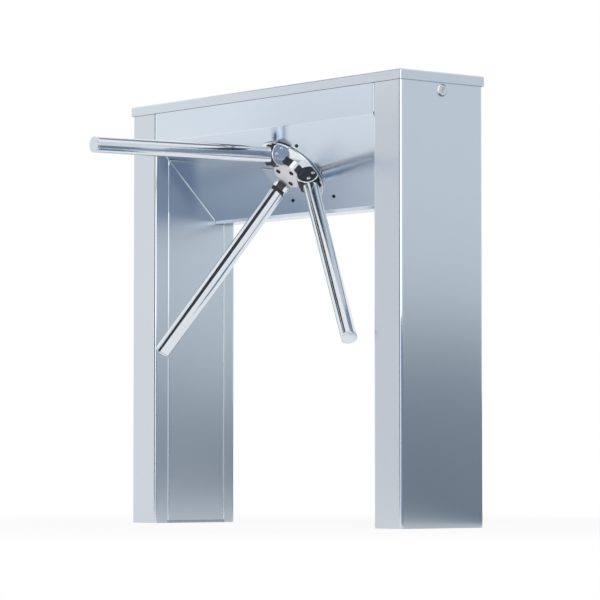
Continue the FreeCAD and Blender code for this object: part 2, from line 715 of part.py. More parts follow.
def mechanism_plate():
    """Square plate behind the slope that carries the whole mechanism."""
    half = MECH_PLATE_SIZE / 2
    body = plate(-half, -half, half, half, MECH_CORNER, -SHEET, MECH_PLATE)
    holes = [rod(PLATE_HOLE_R, V(0, 0, -2 * MECH_PLATE), 2 * MECH_PLATE)]
    holes += [rod(SLOPE_SCREW_R + FIT, V(x, y, -2 * MECH_PLATE), 2 * MECH_PLATE)
              for x, y in plate_screw_places()]
    screw = rod(PLATE_SCREW_R + FIT, V(HOUSING_SCREW_PITCH_R, 0, -2 * MECH_PLATE), 2 * MECH_PLATE)
    return body.cut(holes + round_about(screw, HOUSING_SCREWS))


def bearing_housing():
    """Flanged tube with a bearing seat at each end."""
    seat_r = BEARING_R + FIT
    front_seat = FRONT_BEARING + BEARING_WIDTH
    body = turned([
        (seat_r, -HOUSING_FRONT),
        (HOUSING_FLANGE_R, -HOUSING_FRONT),
        (HOUSING_FLANGE_R, -HOUSING_FRONT - HOUSING_FLANGE),
        (HOUSING_R, -HOUSING_FRONT - HOUSING_FLANGE),
        (HOUSING_R, -HOUSING_REAR),
        (seat_r, -HOUSING_REAR),
        (seat_r, -REAR_BEARING),
        (HOUSING_BORE_R, -REAR_BEARING),
        (HOUSING_BORE_R, -front_seat),
        (seat_r, -front_seat),
    ])
    screw = rod(PLATE_SCREW_R + FIT, V(HOUSING_SCREW_PITCH_R, 0, -HOUSING_REAR), HOUSING_REAR)
    thread = rod(PLATE_SCREW_R + FIT, V(CARRIER_SCREW_PITCH_R, 0, -HOUSING_REAR - PASS), CARRIER + PASS)
    threads = round_about(thread, CARRIER_SCREWS, CARRIER_SCREW_TURN)
    return body.cut(round_about(screw, HOUSING_SCREWS) + threads)


def housing_screws():
    """Screws through the housing flange into the mechanism plate."""
    grip = HOUSING_FLANGE + MECH_PLATE
    seat = HOUSING_FRONT + HOUSING_FLANGE
    screw = rod(PLATE_SCREW_R, V(HOUSING_SCREW_PITCH_R, 0, -seat), grip)
    head_end = V(HOUSING_SCREW_PITCH_R, 0, -seat - HOUSING_SCREW_HEAD)
    head = rod(PLATE_SCREW_HEAD_R, head_end, HOUSING_SCREW_HEAD)
    return Part.makeCompound(round_about(screw.fuse(head), HOUSING_SCREWS))


def bearing(front):
    """Shielded ball bearing: two rings and a recessed shield between them."""
    outer_ring = BEARING_R - RACE
    inner_r = SHAFT_R + FIT
    inner_ring = inner_r + RACE
    rear = front + BEARING_WIDTH
    return turned([
        (inner_r, -front),
        (inner_ring, -front),
        (inner_ring, -front - SHIELD_SINK),
        (outer_ring, -front - SHIELD_SINK),
        (outer_ring, -front),
        (BEARING_R, -front),
        (BEARING_R, -rear),
        (outer_ring, -rear),
        (outer_ring, -rear + SHIELD_SINK),
        (inner_ring, -rear + SHIELD_SINK),
        (inner_ring, -rear),
        (inner_r, -rear),
    ])


def main_shaft():
    """Rotor shaft with the flange that the hub bolts to."""
    shaft = turned([
        (0, DISC_GAP),
        (SHAFT_FLANGE_R, DISC_GAP),
        (SHAFT_FLANGE_R, -SHAFT_FLANGE_END),
        (SHOULDER_R, -SHAFT_FLANGE_END),
        (SHOULDER_R, -FRONT_BEARING),
        (SHAFT_R, -FRONT_BEARING),
        (SHAFT_R, -SHAFT_END),
        (0, -SHAFT_END),
    ])
    thread = rod(BOLT_R + FIT, V(0, HUB_BOLT_PITCH_R, DISC_GAP - HUB_BOLT_GRIP), HUB_BOLT_GRIP + PASS)
    return shaft.cut(round_about(thread, ARMS, REST_TURN))


def shaft_spacers():
    """Sleeves on the shaft between the bearings, the ring gear, the lock wheel and the encoder."""
    bore = SHAFT_R + FIT
    return Part.makeCompound([
        ring(SHOULDER_R, bore, FRONT_BEARING + BEARING_WIDTH, REAR_BEARING),
        ring(SHOULDER_R, bore, HOUSING_REAR, GEAR_FRONT),
        ring(SPACER_R, bore, GEAR_REAR, WHEEL_FRONT),
        ring(SPACER_R, bore, WHEEL_REAR, ENCODER_FRONT),
    ])


def shaft_nut():
    """Nut that draws the stack on the shaft together."""
    nut = hexagon(SHAFT_NUT_AF, V(0, 0, -ENCODER_REAR - SHAFT_NUT), SHAFT_NUT, V(0, 0, 1))
    return nut.cut(rod(SHAFT_R + FIT, V(0, 0, -SHAFT_END - PASS), SHAFT_END))


def gear(teeth, front, thick, bore):
    """Spur gear with involute flanks, one tooth on the local X axis, thinned for backlash."""
    pitch_r = MODULE * teeth / 2
    base_r = pitch_r * math.cos(math.radians(PRESSURE))
    tip_r = pitch_r + MODULE
    root_r = pitch_r - 1.25 * MODULE
    pressure_roll = math.tan(math.radians(PRESSURE)) - math.radians(PRESSURE)
    half_tooth = math.pi / (2 * teeth) - BACKLASH / (2 * pitch_r) + pressure_roll

    def flank_angle(radius):
        """Half the tooth's angle at a radius."""
        roll = math.acos(min(1.0, base_r / radius))
        return half_tooth - (math.tan(roll) - roll)

    flank = [max(base_r, root_r), pitch_r, tip_r]
    profile = [(root_r, flank_angle(flank[0]))] if root_r < base_r else []
    profile += [(r, flank_angle(r)) for r in flank]
    points = []
    for i in range(teeth):
        middle = 2 * math.pi * i / teeth
        polar = [(r, middle - a) for r, a in profile] + [(r, middle + a) for r, a in profile[::-1]]
        points += [V(r * math.cos(a), r * math.sin(a), -front - thick) for r, a in polar]
    blank = prism(points, V(0, 0, thick))
    return blank.cut(rod(bore, V(0, 0, -front - thick - PASS), thick + 2 * PASS))


def ring_gear():
    """Large gear on the shaft, with lightening windows."""
    window = rod(GEAR_WINDOW_R, V(GEAR_WINDOW_PITCH_R, 0, -GEAR_REAR - PASS), GEAR_FACE + 2 * PASS)
    return gear(GEAR_TEETH, GEAR_FRONT, GEAR_FACE, SHAFT_R + FIT).cut(round_about(window, GEAR_WINDOWS))


def drive_pinion():
    """Pinion in mesh above the ring gear, with its motor shaft."""
    pinion = gear(PINION_TEETH, GEAR_FRONT, GEAR_FACE, MOTOR_SHAFT_R)
    shaft_start = HOUSING_REAR - MOTOR_SHAFT_GRIP
    pinion = pinion.fuse(rod(MOTOR_SHAFT_R, V(0, 0, -GEAR_REAR), GEAR_REAR - shaft_start))
    ring_tooth = 360.0 / GEAR_TEETH
    facing = 90.0 % ring_tooth
    pinion_tooth = 360.0 / PINION_TEETH
    turn = 270.0 + pinion_tooth / 2 + facing * GEAR_TEETH / PINION_TEETH
    pinion.rotate(V(0, 0, 0), V(0, 0, 1), turn)
    pinion.translate(V(0, GEAR_CENTRES, 0))
    return pinion


def drive_motor():
    """Round drive motor in front of the carrier, with a bore for its shaft and a flanged face."""
    face = HOUSING_REAR
    can_r = MOTOR_R - MOTOR_STEP
    bore_end = MOTOR_SHAFT_GRIP + PASS
    body = turned([
        (MOTOR_SHAFT_R + FIT, -face),
        (MOTOR_R, -face),
        (MOTOR_R, -face + MOTOR_FLANGE),
        (can_r, -face + MOTOR_FLANGE),
        (can_r, -face + MOTOR_LENGTH - MOTOR_CHAMFER),
        (can_r - MOTOR_CHAMFER, -face + MOTOR_LENGTH),
        (0, -face + MOTOR_LENGTH),
        (0, -face + bore_end),
        (MOTOR_SHAFT_R + FIT, -face + bore_end),
    ])
    body.translate(V(0, GEAR_CENTRES, 0))
    return body


def lock_wheel():
    """Notched wheel that the pawls drop into, a notch on either side."""
    wheel = ring(WHEEL_R, SHAFT_R + FIT, WHEEL_FRONT, WHEEL_REAR)
    notch = block(V(WHEEL_R - NOTCH_DEPTH, -NOTCH_WIDTH / 2, -WHEEL_REAR - PASS),
                  V(WHEEL_R + NOTCH_DEPTH, NOTCH_WIDTH / 2, -WHEEL_FRONT + PASS))
    return wheel.cut(round_about(notch, WHEEL_NOTCHES))


def encoder_disc():
    """Thin slotted disc that the position sensor reads."""
    disc = ring(ENCODER_R, SHAFT_R + FIT, ENCODER_FRONT, ENCODER_REAR)
    width, length = ENCODER_SLOT
    slot = block(V(ENCODER_R - length, -width / 2, -ENCODER_REAR - PASS),
                 V(ENCODER_R + PASS, width / 2, -ENCODER_FRONT + PASS))
    return disc.cut(round_about(slot, ENCODER_SLOTS))


def carrier_plate():
    """Plate on the back of the housing that carries the motor, the pawls and the solenoids."""
    body = plate(-CARRIER_HALF, -CARRIER_LOW, CARRIER_HALF, CARRIER_HIGH,
                 CARRIER_CORNER, -HOUSING_REAR, CARRIER)
    below = V(0, 0, -CARRIER_REAR - PASS)
    deep = CARRIER + 2 * PASS
    holes = [
        rod(CARRIER_HOLE_R, below, deep),
        rod(MOTOR_SHAFT_R + MOTOR_HOLE_PLAY, below + V(0, GEAR_CENTRES, 0), deep),
    ]
    holes += [rod(PAWL_PIN_R + FIT, below + V(side * PAWL_X, -PAWL_PIVOT_Y, 0), deep) for side in (-1, 1)]
    screw = rod(PLATE_SCREW_R + FIT, below + V(CARRIER_SCREW_PITCH_R, 0, 0), deep)
    return body.cut(holes + round_about(screw, CARRIER_SCREWS, CARRIER_SCREW_TURN))


def carrier_screws():
    """Screws through the carrier into the housing."""
    grip = 2 * CARRIER
    screw = rod(PLATE_SCREW_R, V(CARRIER_SCREW_PITCH_R, 0, -CARRIER_REAR), grip)
    seat = V(CARRIER_SCREW_PITCH_R, 0, -CARRIER_REAR - CARRIER_SCREW_HEAD)
    head = rod(PLATE_SCREW_HEAD_R, seat, CARRIER_SCREW_HEAD)
    return Part.makeCompound(round_about(screw.fuse(head), CARRIER_SCREWS, CARRIER_SCREW_TURN))


def pawl_pins():
    """Shouldered pivot pins of the two pawls."""
    seat = WHEEL_FRONT - PAWL_SIDE_PLAY
    head = WHEEL_REAR + PAWL_SIDE_PLAY
    pin = turned([
        (0, -HOUSING_REAR - PAWL_PIN_SINK),
        (PAWL_PIN_R, -HOUSING_REAR - PAWL_PIN_SINK),
        (PAWL_PIN_R, -CARRIER_REAR),
        (PAWL_PIN_SHOULDER_R, -CARRIER_REAR),
        (PAWL_PIN_SHOULDER_R, -seat),
        (PAWL_PIN_R, -seat),
        (PAWL_PIN_R, -head),
        (PAWL_PIN_HEAD_R, -head),
        (PAWL_PIN_HEAD_R, -head - PAWL_PIN_HEAD),
        (0, -head - PAWL_PIN_HEAD),
    ])
    solids = []
    for side in (-1, 1):
        copy = pin.copy()
        copy.translate(V(side * PAWL_X, -PAWL_PIVOT_Y, 0))
        solids.append(copy)
    return Part.makeCompound(solids)


def mirrored(shape, side):
    """The shape as modelled for the right, or its mirror image for the left."""
    return shape if side > 0 else shape.mirror(V(0, 0, 0), V(1, 0, 0))


def pawl(side):
    """Locking lever: an eye on its pin, a tooth facing the lock wheel and a slotted tail."""
    low = -WHEEL_REAR
    high = -WHEEL_FRONT
    tail_end = PAWL_TAIL_Y + PAWL_HALF + LINK_PIN_R
    bar = block(V(PAWL_X - PAWL_HALF, -PAWL_PIVOT_Y, low), V(PAWL_X + PAWL_HALF, tail_end, high))
    eye = rod(PAWL_EYE_R, V(PAWL_X, -PAWL_PIVOT_Y, low), WHEEL_FACE)
    tooth = block(V(WHEEL_R + PAWL_TIP_GAP, PAWL_TOOTH_LIFT - PAWL_TOOTH / 2, low),
                  V(PAWL_X, PAWL_TOOTH_LIFT + PAWL_TOOTH / 2, high))
    slot_half = LINK_PIN_R + LINK_SLOT_PLAY
    slot = block(V(PAWL_X - slot_half, PAWL_TAIL_Y - LINK_SLOT_TRAVEL, low - PASS),
                 V(PAWL_X + slot_half, PAWL_TAIL_Y + LINK_SLOT_TRAVEL, high + PASS))
    ends = [rod(slot_half, V(PAWL_X, PAWL_TAIL_Y + y, low - PASS), WHEEL_FACE + 2 * PASS)
            for y in (-LINK_SLOT_TRAVEL, LINK_SLOT_TRAVEL)]
    pivot = rod(PAWL_PIN_R + FIT, V(PAWL_X, -PAWL_PIVOT_Y, low - PASS), WHEEL_FACE + 2 * PASS)
    lever = bar.fuse([eye, tooth]).removeSplitter()
    return mirrored(lever.cut([slot, pivot] + ends), side)


def plunger(side):
    """Solenoid core with a clevis whose pin runs in the pawl's slot."""
    half_gap = WHEEL_FACE / 2 + 2 * PAWL_SIDE_PLAY
    near = PAWL_X - CLEVIS_REACH
    far = PAWL_X + PAWL_HALF + CLEVIS_REACH
    half = half_gap + CLEVIS
    fork = block(V(near, PAWL_TAIL_Y - CLEVIS_HALF, -PAWL_MIDDLE - half),
                 V(far, PAWL_TAIL_Y + CLEVIS_HALF, -PAWL_MIDDLE + half))
    throat = block(V(near - PASS, PAWL_TAIL_Y - 2 * CLEVIS_HALF, -PAWL_MIDDLE - half_gap),
                   V(far - CLEVIS, PAWL_TAIL_Y + 2 * CLEVIS_HALF, -PAWL_MIDDLE + half_gap))
    pin = rod(LINK_PIN_R, V(PAWL_X, PAWL_TAIL_Y, -PAWL_MIDDLE - half), 2 * half)
    core = rod(PLUNGER_R, V(far, PAWL_TAIL_Y, -PAWL_MIDDLE), SOLENOID_NEAR + PLUNGER_GRIP - far, V(1, 0, 0))
    return mirrored(fork.cut(throat).fuse([pin, core]).removeSplitter(), side)


def solenoid(side):
    """Coil in its frame on the carrier, with a bore for the plunger."""
    length, width, height = SOLENOID
    body = block(V(SOLENOID_NEAR, PAWL_TAIL_Y - width / 2, -CARRIER_REAR - height),
                 V(SOLENOID_NEAR + length, PAWL_TAIL_Y + width / 2, -CARRIER_REAR))
    bore = rod(PLUNGER_R + FIT, V(SOLENOID_NEAR - PASS, PAWL_TAIL_Y, -PAWL_MIDDLE), length, V(1, 0, 0))
    return mirrored(body.cut(bore), side)


def encoder_sensor():
    """Fork sensor on a post, one finger either side of the encoder disc."""
    front_finger = ENCODER_FRONT - SENSOR_GAP - SENSOR_FINGER
    rear_finger = ENCODER_REAR + SENSOR_GAP
    rear = rear_finger + SENSOR_FINGER
    tip = SENSOR_NEAR - SENSOR_REACH
    post = block(V(-SENSOR_HALF, SENSOR_NEAR, -rear),
                 V(SENSOR_HALF, SENSOR_NEAR + SENSOR_POST, -CARRIER_REAR))
    fingers = [block(V(-SENSOR_HALF, tip, -z - SENSOR_FINGER), V(SENSOR_HALF, SENSOR_NEAR, -z))
               for z in (front_finger, rear_finger)]
    sensor = post.fuse(fingers).removeSplitter()
    sensor.rotate(V(0, 0, 0), V(0, 0, 1), SENSOR_TURN)
    return sensor


def hub_disc():
    """Polished disc with a boss under the nose cap."""
    disc = turned([
        (0, DISC_GAP),
        (DISC_R, DISC_GAP),
        (DISC_R, DISC_FACE - DISC_EDGE),
        (DISC_R - DISC_EDGE, DISC_FACE),
        (BOSS_R, DISC_FACE),
        (BOSS_R, BOSS_FACE),
        (0, BOSS_FACE),
    ])
    seat = DISC_FACE + HUB_BOLT_SINK
    bolt = rod(BOLT_R + FIT, V(0, HUB_BOLT_PITCH_R, 0), NOSE_FACE)
    bolt = bolt.fuse(rod(HUB_BOLT_HEAD_R + HUB_BOLT_HEAD_PLAY, V(0, HUB_BOLT_PITCH_R, seat), NOSE_FACE))
    screw = rod(NOSE_SCREW_R + FIT, V(0, -NOSE_SCREW_PITCH_R, BOSS_FACE - NOSE_SCREW_DEPTH), NOSE_FACE)
    return disc.cut(round_about(bolt, ARMS) + round_about(screw, ARMS, NOSE_SCREW_TURN))


def hub_bolts():
    """Socket bolts that hold the hub disc on the shaft flange."""
    seat = DISC_FACE + HUB_BOLT_SINK
    end = DISC_GAP - HUB_BOLT_GRIP
    bolt = rod(BOLT_R, V(0, HUB_BOLT_PITCH_R, end), seat - end)
    bolt = bolt.fuse(rod(HUB_BOLT_HEAD_R, V(0, HUB_BOLT_PITCH_R, seat), HUB_BOLT_HEAD))
    return Part.makeCompound(round_about(bolt, ARMS))


def nose_cap():
    """Turned cap over the hub bolts."""
    inner_r = NOSE_R - NOSE_WALL
    cap = turned([
        (0, BOSS_FACE),
        (inner_r, BOSS_FACE),
        (inner_r, DISC_FACE),
        (NOSE_R, DISC_FACE),
        (NOSE_R, NOSE_FACE),
        (0, NOSE_FACE),
    ])
    rim = [e for e in cap.Edges if e.BoundBox.ZMin > NOSE_FACE - 1e-6]
    cap = cap.makeFillet(NOSE_EDGE, rim)
    screw = rod(NOSE_SCREW_R + FIT, V(0, -NOSE_SCREW_PITCH_R, 0), 2 * NOSE_FACE)
    return cap.cut(round_about(screw, ARMS, NOSE_SCREW_TURN))


def nose_screws():
    """Three screws in the nose cap, between the arms."""
    end = BOSS_FACE - NOSE_SCREW_DEPTH
    screw = rod(NOSE_SCREW_R, V(0, -NOSE_SCREW_PITCH_R, end), NOSE_FACE - end)
    screw = screw.fuse(rod(NOSE_SCREW_HEAD_R, V(0, -NOSE_SCREW_PITCH_R, NOSE_FACE), NOSE_SCREW_HEAD))
    return Part.makeCompound(round_about(screw, ARMS, NOSE_SCREW_TURN))


def along_arm(shape):
    """Moves a shape from an arm's own frame, Z along the arm from the knuckle's centre, to the first arm."""
    placed = shape.copy()
    lean = FreeCAD.Rotation(V(1, 0, 0), -ARM_ANGLE)
    placed.Placement = FreeCAD.Placement(V(0, KNUCKLE_PITCH_R, DISC_FACE), lean).multiply(placed.Placement)
    return placed


def knuckle():
    """Half-round block on the disc that holds one arm, trimmed to the nose cap."""
    centre = V(-KNUCKLE_THICK / 2, KNUCKLE_PITCH_R, DISC_FACE)
    drum = rod(KNUCKLE_R, centre, KNUCKLE_THICK, V(1, 0, 0))
    cheeks = [e for e in drum.Edges if e.Curve.TypeId == "Part::GeomCircle"]
    drum = drum.makeFillet(KNUCKLE_EDGE, cheeks)
    above = block(centre - V(PASS, 2 * KNUCKLE_R, 0),
                  centre + V(2 * KNUCKLE_THICK, 2 * KNUCKLE_R, 2 * KNUCKLE_R))
    half = drum.common(above)
    half = half.cut(rod(NOSE_R + KNUCKLE_PLAY, V(0, 0, 0), 2 * NOSE_FACE))
    bore = along_arm(rod(SPIGOT_R + FIT, V(0, 0, SPIGOT_START - FIT), KNUCKLE_R))
    return half.cut([bore, cross_pin_hole()])


def cross_pin_hole():
    return along_arm(rod(PIN_R + FIT, V(-KNUCKLE_THICK, 0, PIN_ALONG), 2 * KNUCKLE_THICK, V(1, 0, 0)))


def arm_tube():
    """Polished arm, its root coped to the knuckle's round."""
    tip = KNUCKLE_TO_TIP - ARM_PLUG
    tube = rod(ARM_R, V(0, 0, 0), tip).cut(rod(ARM_R - ARM_WALL, V(0, 0, -PASS), tip + 2 * PASS))
    cope = rod(KNUCKLE_R + KNUCKLE_PLAY, V(-2 * ARM_R, 0, 0), 4 * ARM_R, V(1, 0, 0))
    return along_arm(tube.cut(cope))


def arm_spigot():
    """Turned root that joins the arm's tube to its knuckle."""
    step = KNUCKLE_R + KNUCKLE_PLAY
    body = turned([
        (0, SPIGOT_START),
        (SPIGOT_R, SPIGOT_START),
        (SPIGOT_R, step),
        (ARM_R - ARM_WALL - FIT, step),
        (ARM_R - ARM_WALL - FIT, SPIGOT_END),
        (0, SPIGOT_END),
    ])
    return along_arm(body).cut(cross_pin_hole())


def knuckle_pin():
    """Cross pin through a knuckle and its spigot, headed at both cheeks."""
    half = KNUCKLE_THICK / 2
    pin = rod(PIN_R, V(-half, 0, PIN_ALONG), KNUCKLE_THICK, V(1, 0, 0))
    heads = [rod(PIN_HEAD_R, V(x, 0, PIN_ALONG), PIN_HEAD, V(1, 0, 0)) for x in (-half - PIN_HEAD, half)]
    return along_arm(pin.fuse(heads))


def arm_plug():
    """Flat end plug with a chamfered rim."""
    tip = KNUCKLE_TO_TIP
    shoulder = tip - ARM_PLUG
    return along_arm(turned([
        (0, shoulder - ARM_PLUG_SPIGOT),
        (ARM_R - ARM_WALL - FIT, shoulder - ARM_PLUG_SPIGOT),
        (ARM_R - ARM_WALL - FIT, shoulder),
        (ARM_R, shoulder),
        (ARM_R, tip - ARM_PLUG_CHAMFER),
        (ARM_R - ARM_PLUG_CHAMFER, tip),
        (0, tip),
    ]))


def control_board():
    """Circuit board on its standoffs inside the back panel."""
    length, height, thick = BOARD
    face = HALF_D - SHEET - STANDOFF
    return block(V(BOARD_X - length / 2, face - thick, BOARD_Z - height / 2),
                 V(BOARD_X + length / 2, face, BOARD_Z + height / 2))


def board_standoffs():
    """Pillars between the back panel and the board's corners."""
    length, height, _ = BOARD
    face = HALF_D - SHEET - STANDOFF
    solids = []
    for x in (-1, 1):
        for z in (-1, 1):
            foot_x = BOARD_X + x * (length / 2 - STANDOFF_INSET)
            foot_z = BOARD_Z + z * (height / 2 - STANDOFF_INSET)
            solids.append(rod(STANDOFF_R, V(foot_x, face, foot_z), STANDOFF, V(0, 1, 0)))
    return Part.makeCompound(solids)


def terminal_blocks():
    """Terminal strips along the board's upper and lower edges."""
    length, height, thick = BOARD
    strip, deep, tall = TERMINAL
    face = HALF_D - SHEET - STANDOFF - thick
    solids = []
    for x in (-1, 1):
        for z in (-1, 1):
            middle_x = BOARD_X + x * length / 4
            middle_z = BOARD_Z + z * (height / 2 - TERMINAL_EDGE - tall / 2)
            solids.append(block(V(middle_x - strip / 2, face - deep, middle_z - tall / 2),
                                V(middle_x + strip / 2, face, middle_z + tall / 2)))
    return Part.makeCompound(solids)


def power_supply():
    """Closed supply unit on the back panel."""
    length, deep, height = SUPPLY
    back = HALF_D - SHEET
    body = block(V(SUPPLY_X - length / 2, back - deep, SUPPLY_Z - height / 2),
                 V(SUPPLY_X + length / 2, back, SUPPLY_Z + height / 2))
    return body.makeFillet(SUPPLY_EDGE, [e for e in body.Edges if e.BoundBox.YMax < back - deep / 2])


def cabinet_parts():
    parts = {}
    for name, side in (("left", -1), ("right", 1)):
        parts[name + "_leg_shell"] = leg_shell(side)
        parts[name + "_leg_cover"] = leg_cover(side)
        parts[name + "_base_plate"] = base_plate(side)
        parts[name + "_beam_bracket"] = beam_bracket(side)
    parts["cable_grommet"] = cable_grommet()
    parts["front_panel"] = front_panel()
    parts["back_panel"] = back_panel()
    parts["beam_bolts"] = beam_bolts()
    parts["lid"] = lid()
    parts["lid_locators"] = lid_locators()
    parts["lid_strike"] = lid_strike()
    parts["lock_body"] = lock_body()
    parts["lock_nut"] = lock_nut()
    parts["lock_plug"] = lock_plug()
    parts["lock_cam"] = lock_cam()
    parts["control_board"] = control_board()
    parts["board_standoffs"] = board_standoffs()
    parts["terminal_blocks"] = terminal_blocks()
    parts["power_supply"] = power_supply()
    return parts


def mechanism_parts():
    local = {
        "plate_screws": plate_screws(),
        "mechanism_plate": mechanism_plate(),
        "bearing_housing": bearing_housing(),
        "housing_screws": housing_screws(),
        "front_bearing": bearing(FRONT_BEARING),
        "rear_bearing": bearing(REAR_BEARING),
        "main_shaft": main_shaft(),
        "shaft_spacers": shaft_spacers(),
        "shaft_nut": shaft_nut(),
        "ring_gear": ring_gear(),
        "drive_pinion": drive_pinion(),
        "drive_motor": drive_motor(),
        "lock_wheel": lock_wheel(),
        "encoder_disc": encoder_disc(),
        "encoder_sensor": encoder_sensor(),
        "carrier_plate": carrier_plate(),
        "carrier_screws": carrier_screws(),
        "pawl_pins": pawl_pins(),
    }
    for name, side in (("left", -1), ("right", 1)):
        local[name + "_pawl"] = pawl(side)
        local[name + "_plunger"] = plunger(side)
        local[name + "_solenoid"] = solenoid(side)
    return {name: at_hub(shape) for name, shape in local.items()}


def hub_parts():
    local = {
        "hub_disc": hub_disc(),
        "hub_bolts": hub_bolts(),
        "nose_cap": nose_cap(),
        "nose_screws": nose_screws(),
        "knuckle_pins": Part.makeCompound(round_about(knuckle_pin(), ARMS)),
        "arm_spigots": Part.makeCompound(round_about(arm_spigot(), ARMS)),
        "arm_plugs": Part.makeCompound(round_about(arm_plug(), ARMS)),
    }
    for i, shape in enumerate(round_about(knuckle(), ARMS), 1):
        local["knuckle_%d" % i] = shape
    for i, shape in enumerate(round_about(arm_tube(), ARMS), 1):
        local["arm_%d" % i] = shape
    return {name: at_hub(shape, REST_TURN) for name, shape in local.items()}


def main():
    os.makedirs("parts", exist_ok=True)
    parts = {**cabinet_parts(), **mechanism_parts(), **hub_parts()}
    for name, shape in parts.items():
        if not shape.isValid():
            print("not valid:", name)
        shape.exportStep("parts/%s.step" % name)
    print(len(parts), "nodes,", sum(len(s.Solids) for s in parts.values()), "solids")


main()
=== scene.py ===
import json
import math

import bmesh
import bpy
from mathutils import Matrix, Vector

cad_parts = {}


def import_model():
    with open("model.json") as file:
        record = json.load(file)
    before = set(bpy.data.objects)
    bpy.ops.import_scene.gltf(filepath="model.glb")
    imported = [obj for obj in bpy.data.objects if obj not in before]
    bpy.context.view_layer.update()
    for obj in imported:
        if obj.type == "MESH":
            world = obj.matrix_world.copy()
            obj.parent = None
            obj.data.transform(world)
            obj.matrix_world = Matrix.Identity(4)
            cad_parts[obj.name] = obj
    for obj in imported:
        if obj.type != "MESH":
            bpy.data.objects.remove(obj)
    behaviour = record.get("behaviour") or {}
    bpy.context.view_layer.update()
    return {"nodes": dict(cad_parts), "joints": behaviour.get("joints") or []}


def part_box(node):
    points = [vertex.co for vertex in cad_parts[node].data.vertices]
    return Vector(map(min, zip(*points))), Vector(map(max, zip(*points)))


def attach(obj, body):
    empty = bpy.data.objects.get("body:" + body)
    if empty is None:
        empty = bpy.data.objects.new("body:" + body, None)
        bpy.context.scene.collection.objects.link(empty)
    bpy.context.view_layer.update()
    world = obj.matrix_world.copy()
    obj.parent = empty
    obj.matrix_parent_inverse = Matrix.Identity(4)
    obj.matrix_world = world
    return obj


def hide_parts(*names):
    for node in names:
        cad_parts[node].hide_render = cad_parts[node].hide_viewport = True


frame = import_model()

# Looks of a tripod turnstile: brushed stainless cabinet, mirror polished rotor.
# The part's sizes are in millimetres, and MM turns them to metres. Angles are in degrees, apart from two.
MM = 0.001
FULL_TURN = 2 * math.pi    # these two are in radians
SIXTH_TURN = FULL_TURN / 6
SIDES = (-1, 1)            # left and right
FIT = 0.05                 # gap between a thin trim and what carries it

# Rotor, in its own frame: Z out of the slope along the axis, Y up the slope
REST_TURN = 1.2            # of the hub round its axis, at rest
ARM_COUNT = 3
ARM_ANGLE = 44.2           # between an arm and the hub's axis
APEX_DEPTH = 52.5          # where the arms' axes meet, behind the slope
ARM_REACH = 612.0          # from there to the tip
ARM_R = 19.0
ARM_WALL = 2.0
TIP_CHAMFER = 0.5
PLUG_LENGTH = 4.0          # end plug outside the tube, and as much again inside it
PLUG_GROOVE = 0.5
PLUG_EDGE = 1.2
DISC_R = 94.0
DISC_BACK = 1.0            # faces are measured from the slope
DISC_FACE = 5.0
DISC_EDGE = 1.2
NOSE_R = 38.0
NOSE_FACE = 19.0
NOSE_EDGE = 3.0
NOSE_EDGE_STEPS = 6
KNUCKLE_R = 28.0
KNUCKLE_THICK = 36.0
KNUCKLE_PITCH_R = (APEX_DEPTH + DISC_FACE) * math.tan(math.radians(ARM_ANGLE))
KNUCKLE_TO_TIP = ARM_REACH - (APEX_DEPTH + DISC_FACE) / math.cos(math.radians(ARM_ANGLE))

# Dark trims of a knuckle: a strap over it, a pad under the arm's root whose black also paints the shade of
# the gap there, a collar at each flank
BAND_STEPS = 36            # segments along a strap or a pad
STRAP_WIDTH = 20.0
STRAP_THICK = 0.6
STRAP_FROM = 74.0          # round the knuckle from the hub's axis, on the arm's far side
STRAP_INSIDE = 19.3        # its inner end stands this far from the knuckle's centre
STRAP_OVER_NOSE = 0.3
STRAP_R = KNUCKLE_R + FIT
PAD_WIDTH = 34.0
PAD_THICK = 1.6
PAD_FROM = -58.0           # round the knuckle from the arm's axis
PAD_TO = 43.0              # towards the disc
PAD_EDGE = 0.4
PAD_EDGE_STEPS = 2
PAD_R = STRAP_R + STRAP_THICK + FIT
COPE_R = PAD_R + PAD_THICK + FIT   # the arm's root follows the pad
COLLAR_THICK = 0.6
COLLAR_OUT = 42.0          # its end on the flank, from the hub's axis
COLLAR_TURN = 49.0         # its end on the nose cap, round the axis from the knuckle
COLLAR_STEPS = 12

# Screws and pins; a head is its radius and height
NOSE_SCREW_HEAD = (6.2, 0.9)
NOSE_SCREW_PITCH_R = 24.5
NOSE_SCREW_TURN = -15.0
SLOPE_SCREW_HEAD = (4.2, 2.6)
SLOPE_SCREW_SPACING = (157.0, 162.0)
SLOPE_SCREW_MIDDLE = (6.0, -9.0)   # from the rotor's axis, along the cabinet and up the slope
HEAD_EDGE = 0.35           # rounded share of a screw head's height
HEAD_ROUNDING = ((0.0, 1.0), (0.4, 0.3), (1.4, 0.0))   # inwards and down, as shares of that edge
SOCKET_INSET = 0.2         # first ring of a hexagon socket, as a share of the head's radius
SOCKET_FLATS = 0.48        # axis to flat, as a share of the radius
SOCKET_DEPTH = 0.6         # as a share of the head's height
PIN_HEAD = (4.2, 1.0)
PIN_ALONG = 13.5           # from the knuckle's centre along the arm
PIN_DOME = ((1.0, 0.3), (0.8, 0.8), (0.45, 1.0))       # shares of the radius and the height

# Cabinet trims
LEG_INNER_X = 422.0
TRIM = 2.2                 # corner strip between the slope and a leg
TRIM_FIT = 0.1
TRIM_FROM = -127.0         # up the slope from the rotor's axis
TRIM_TO = 133.0
BEAD_R = 2.4               # half-round bead over the rear seam of a leg cover
BEAD_Y = 89.7
BEAD_FOOT = 7.0            # above the floor
BEAD_STEPS = 16

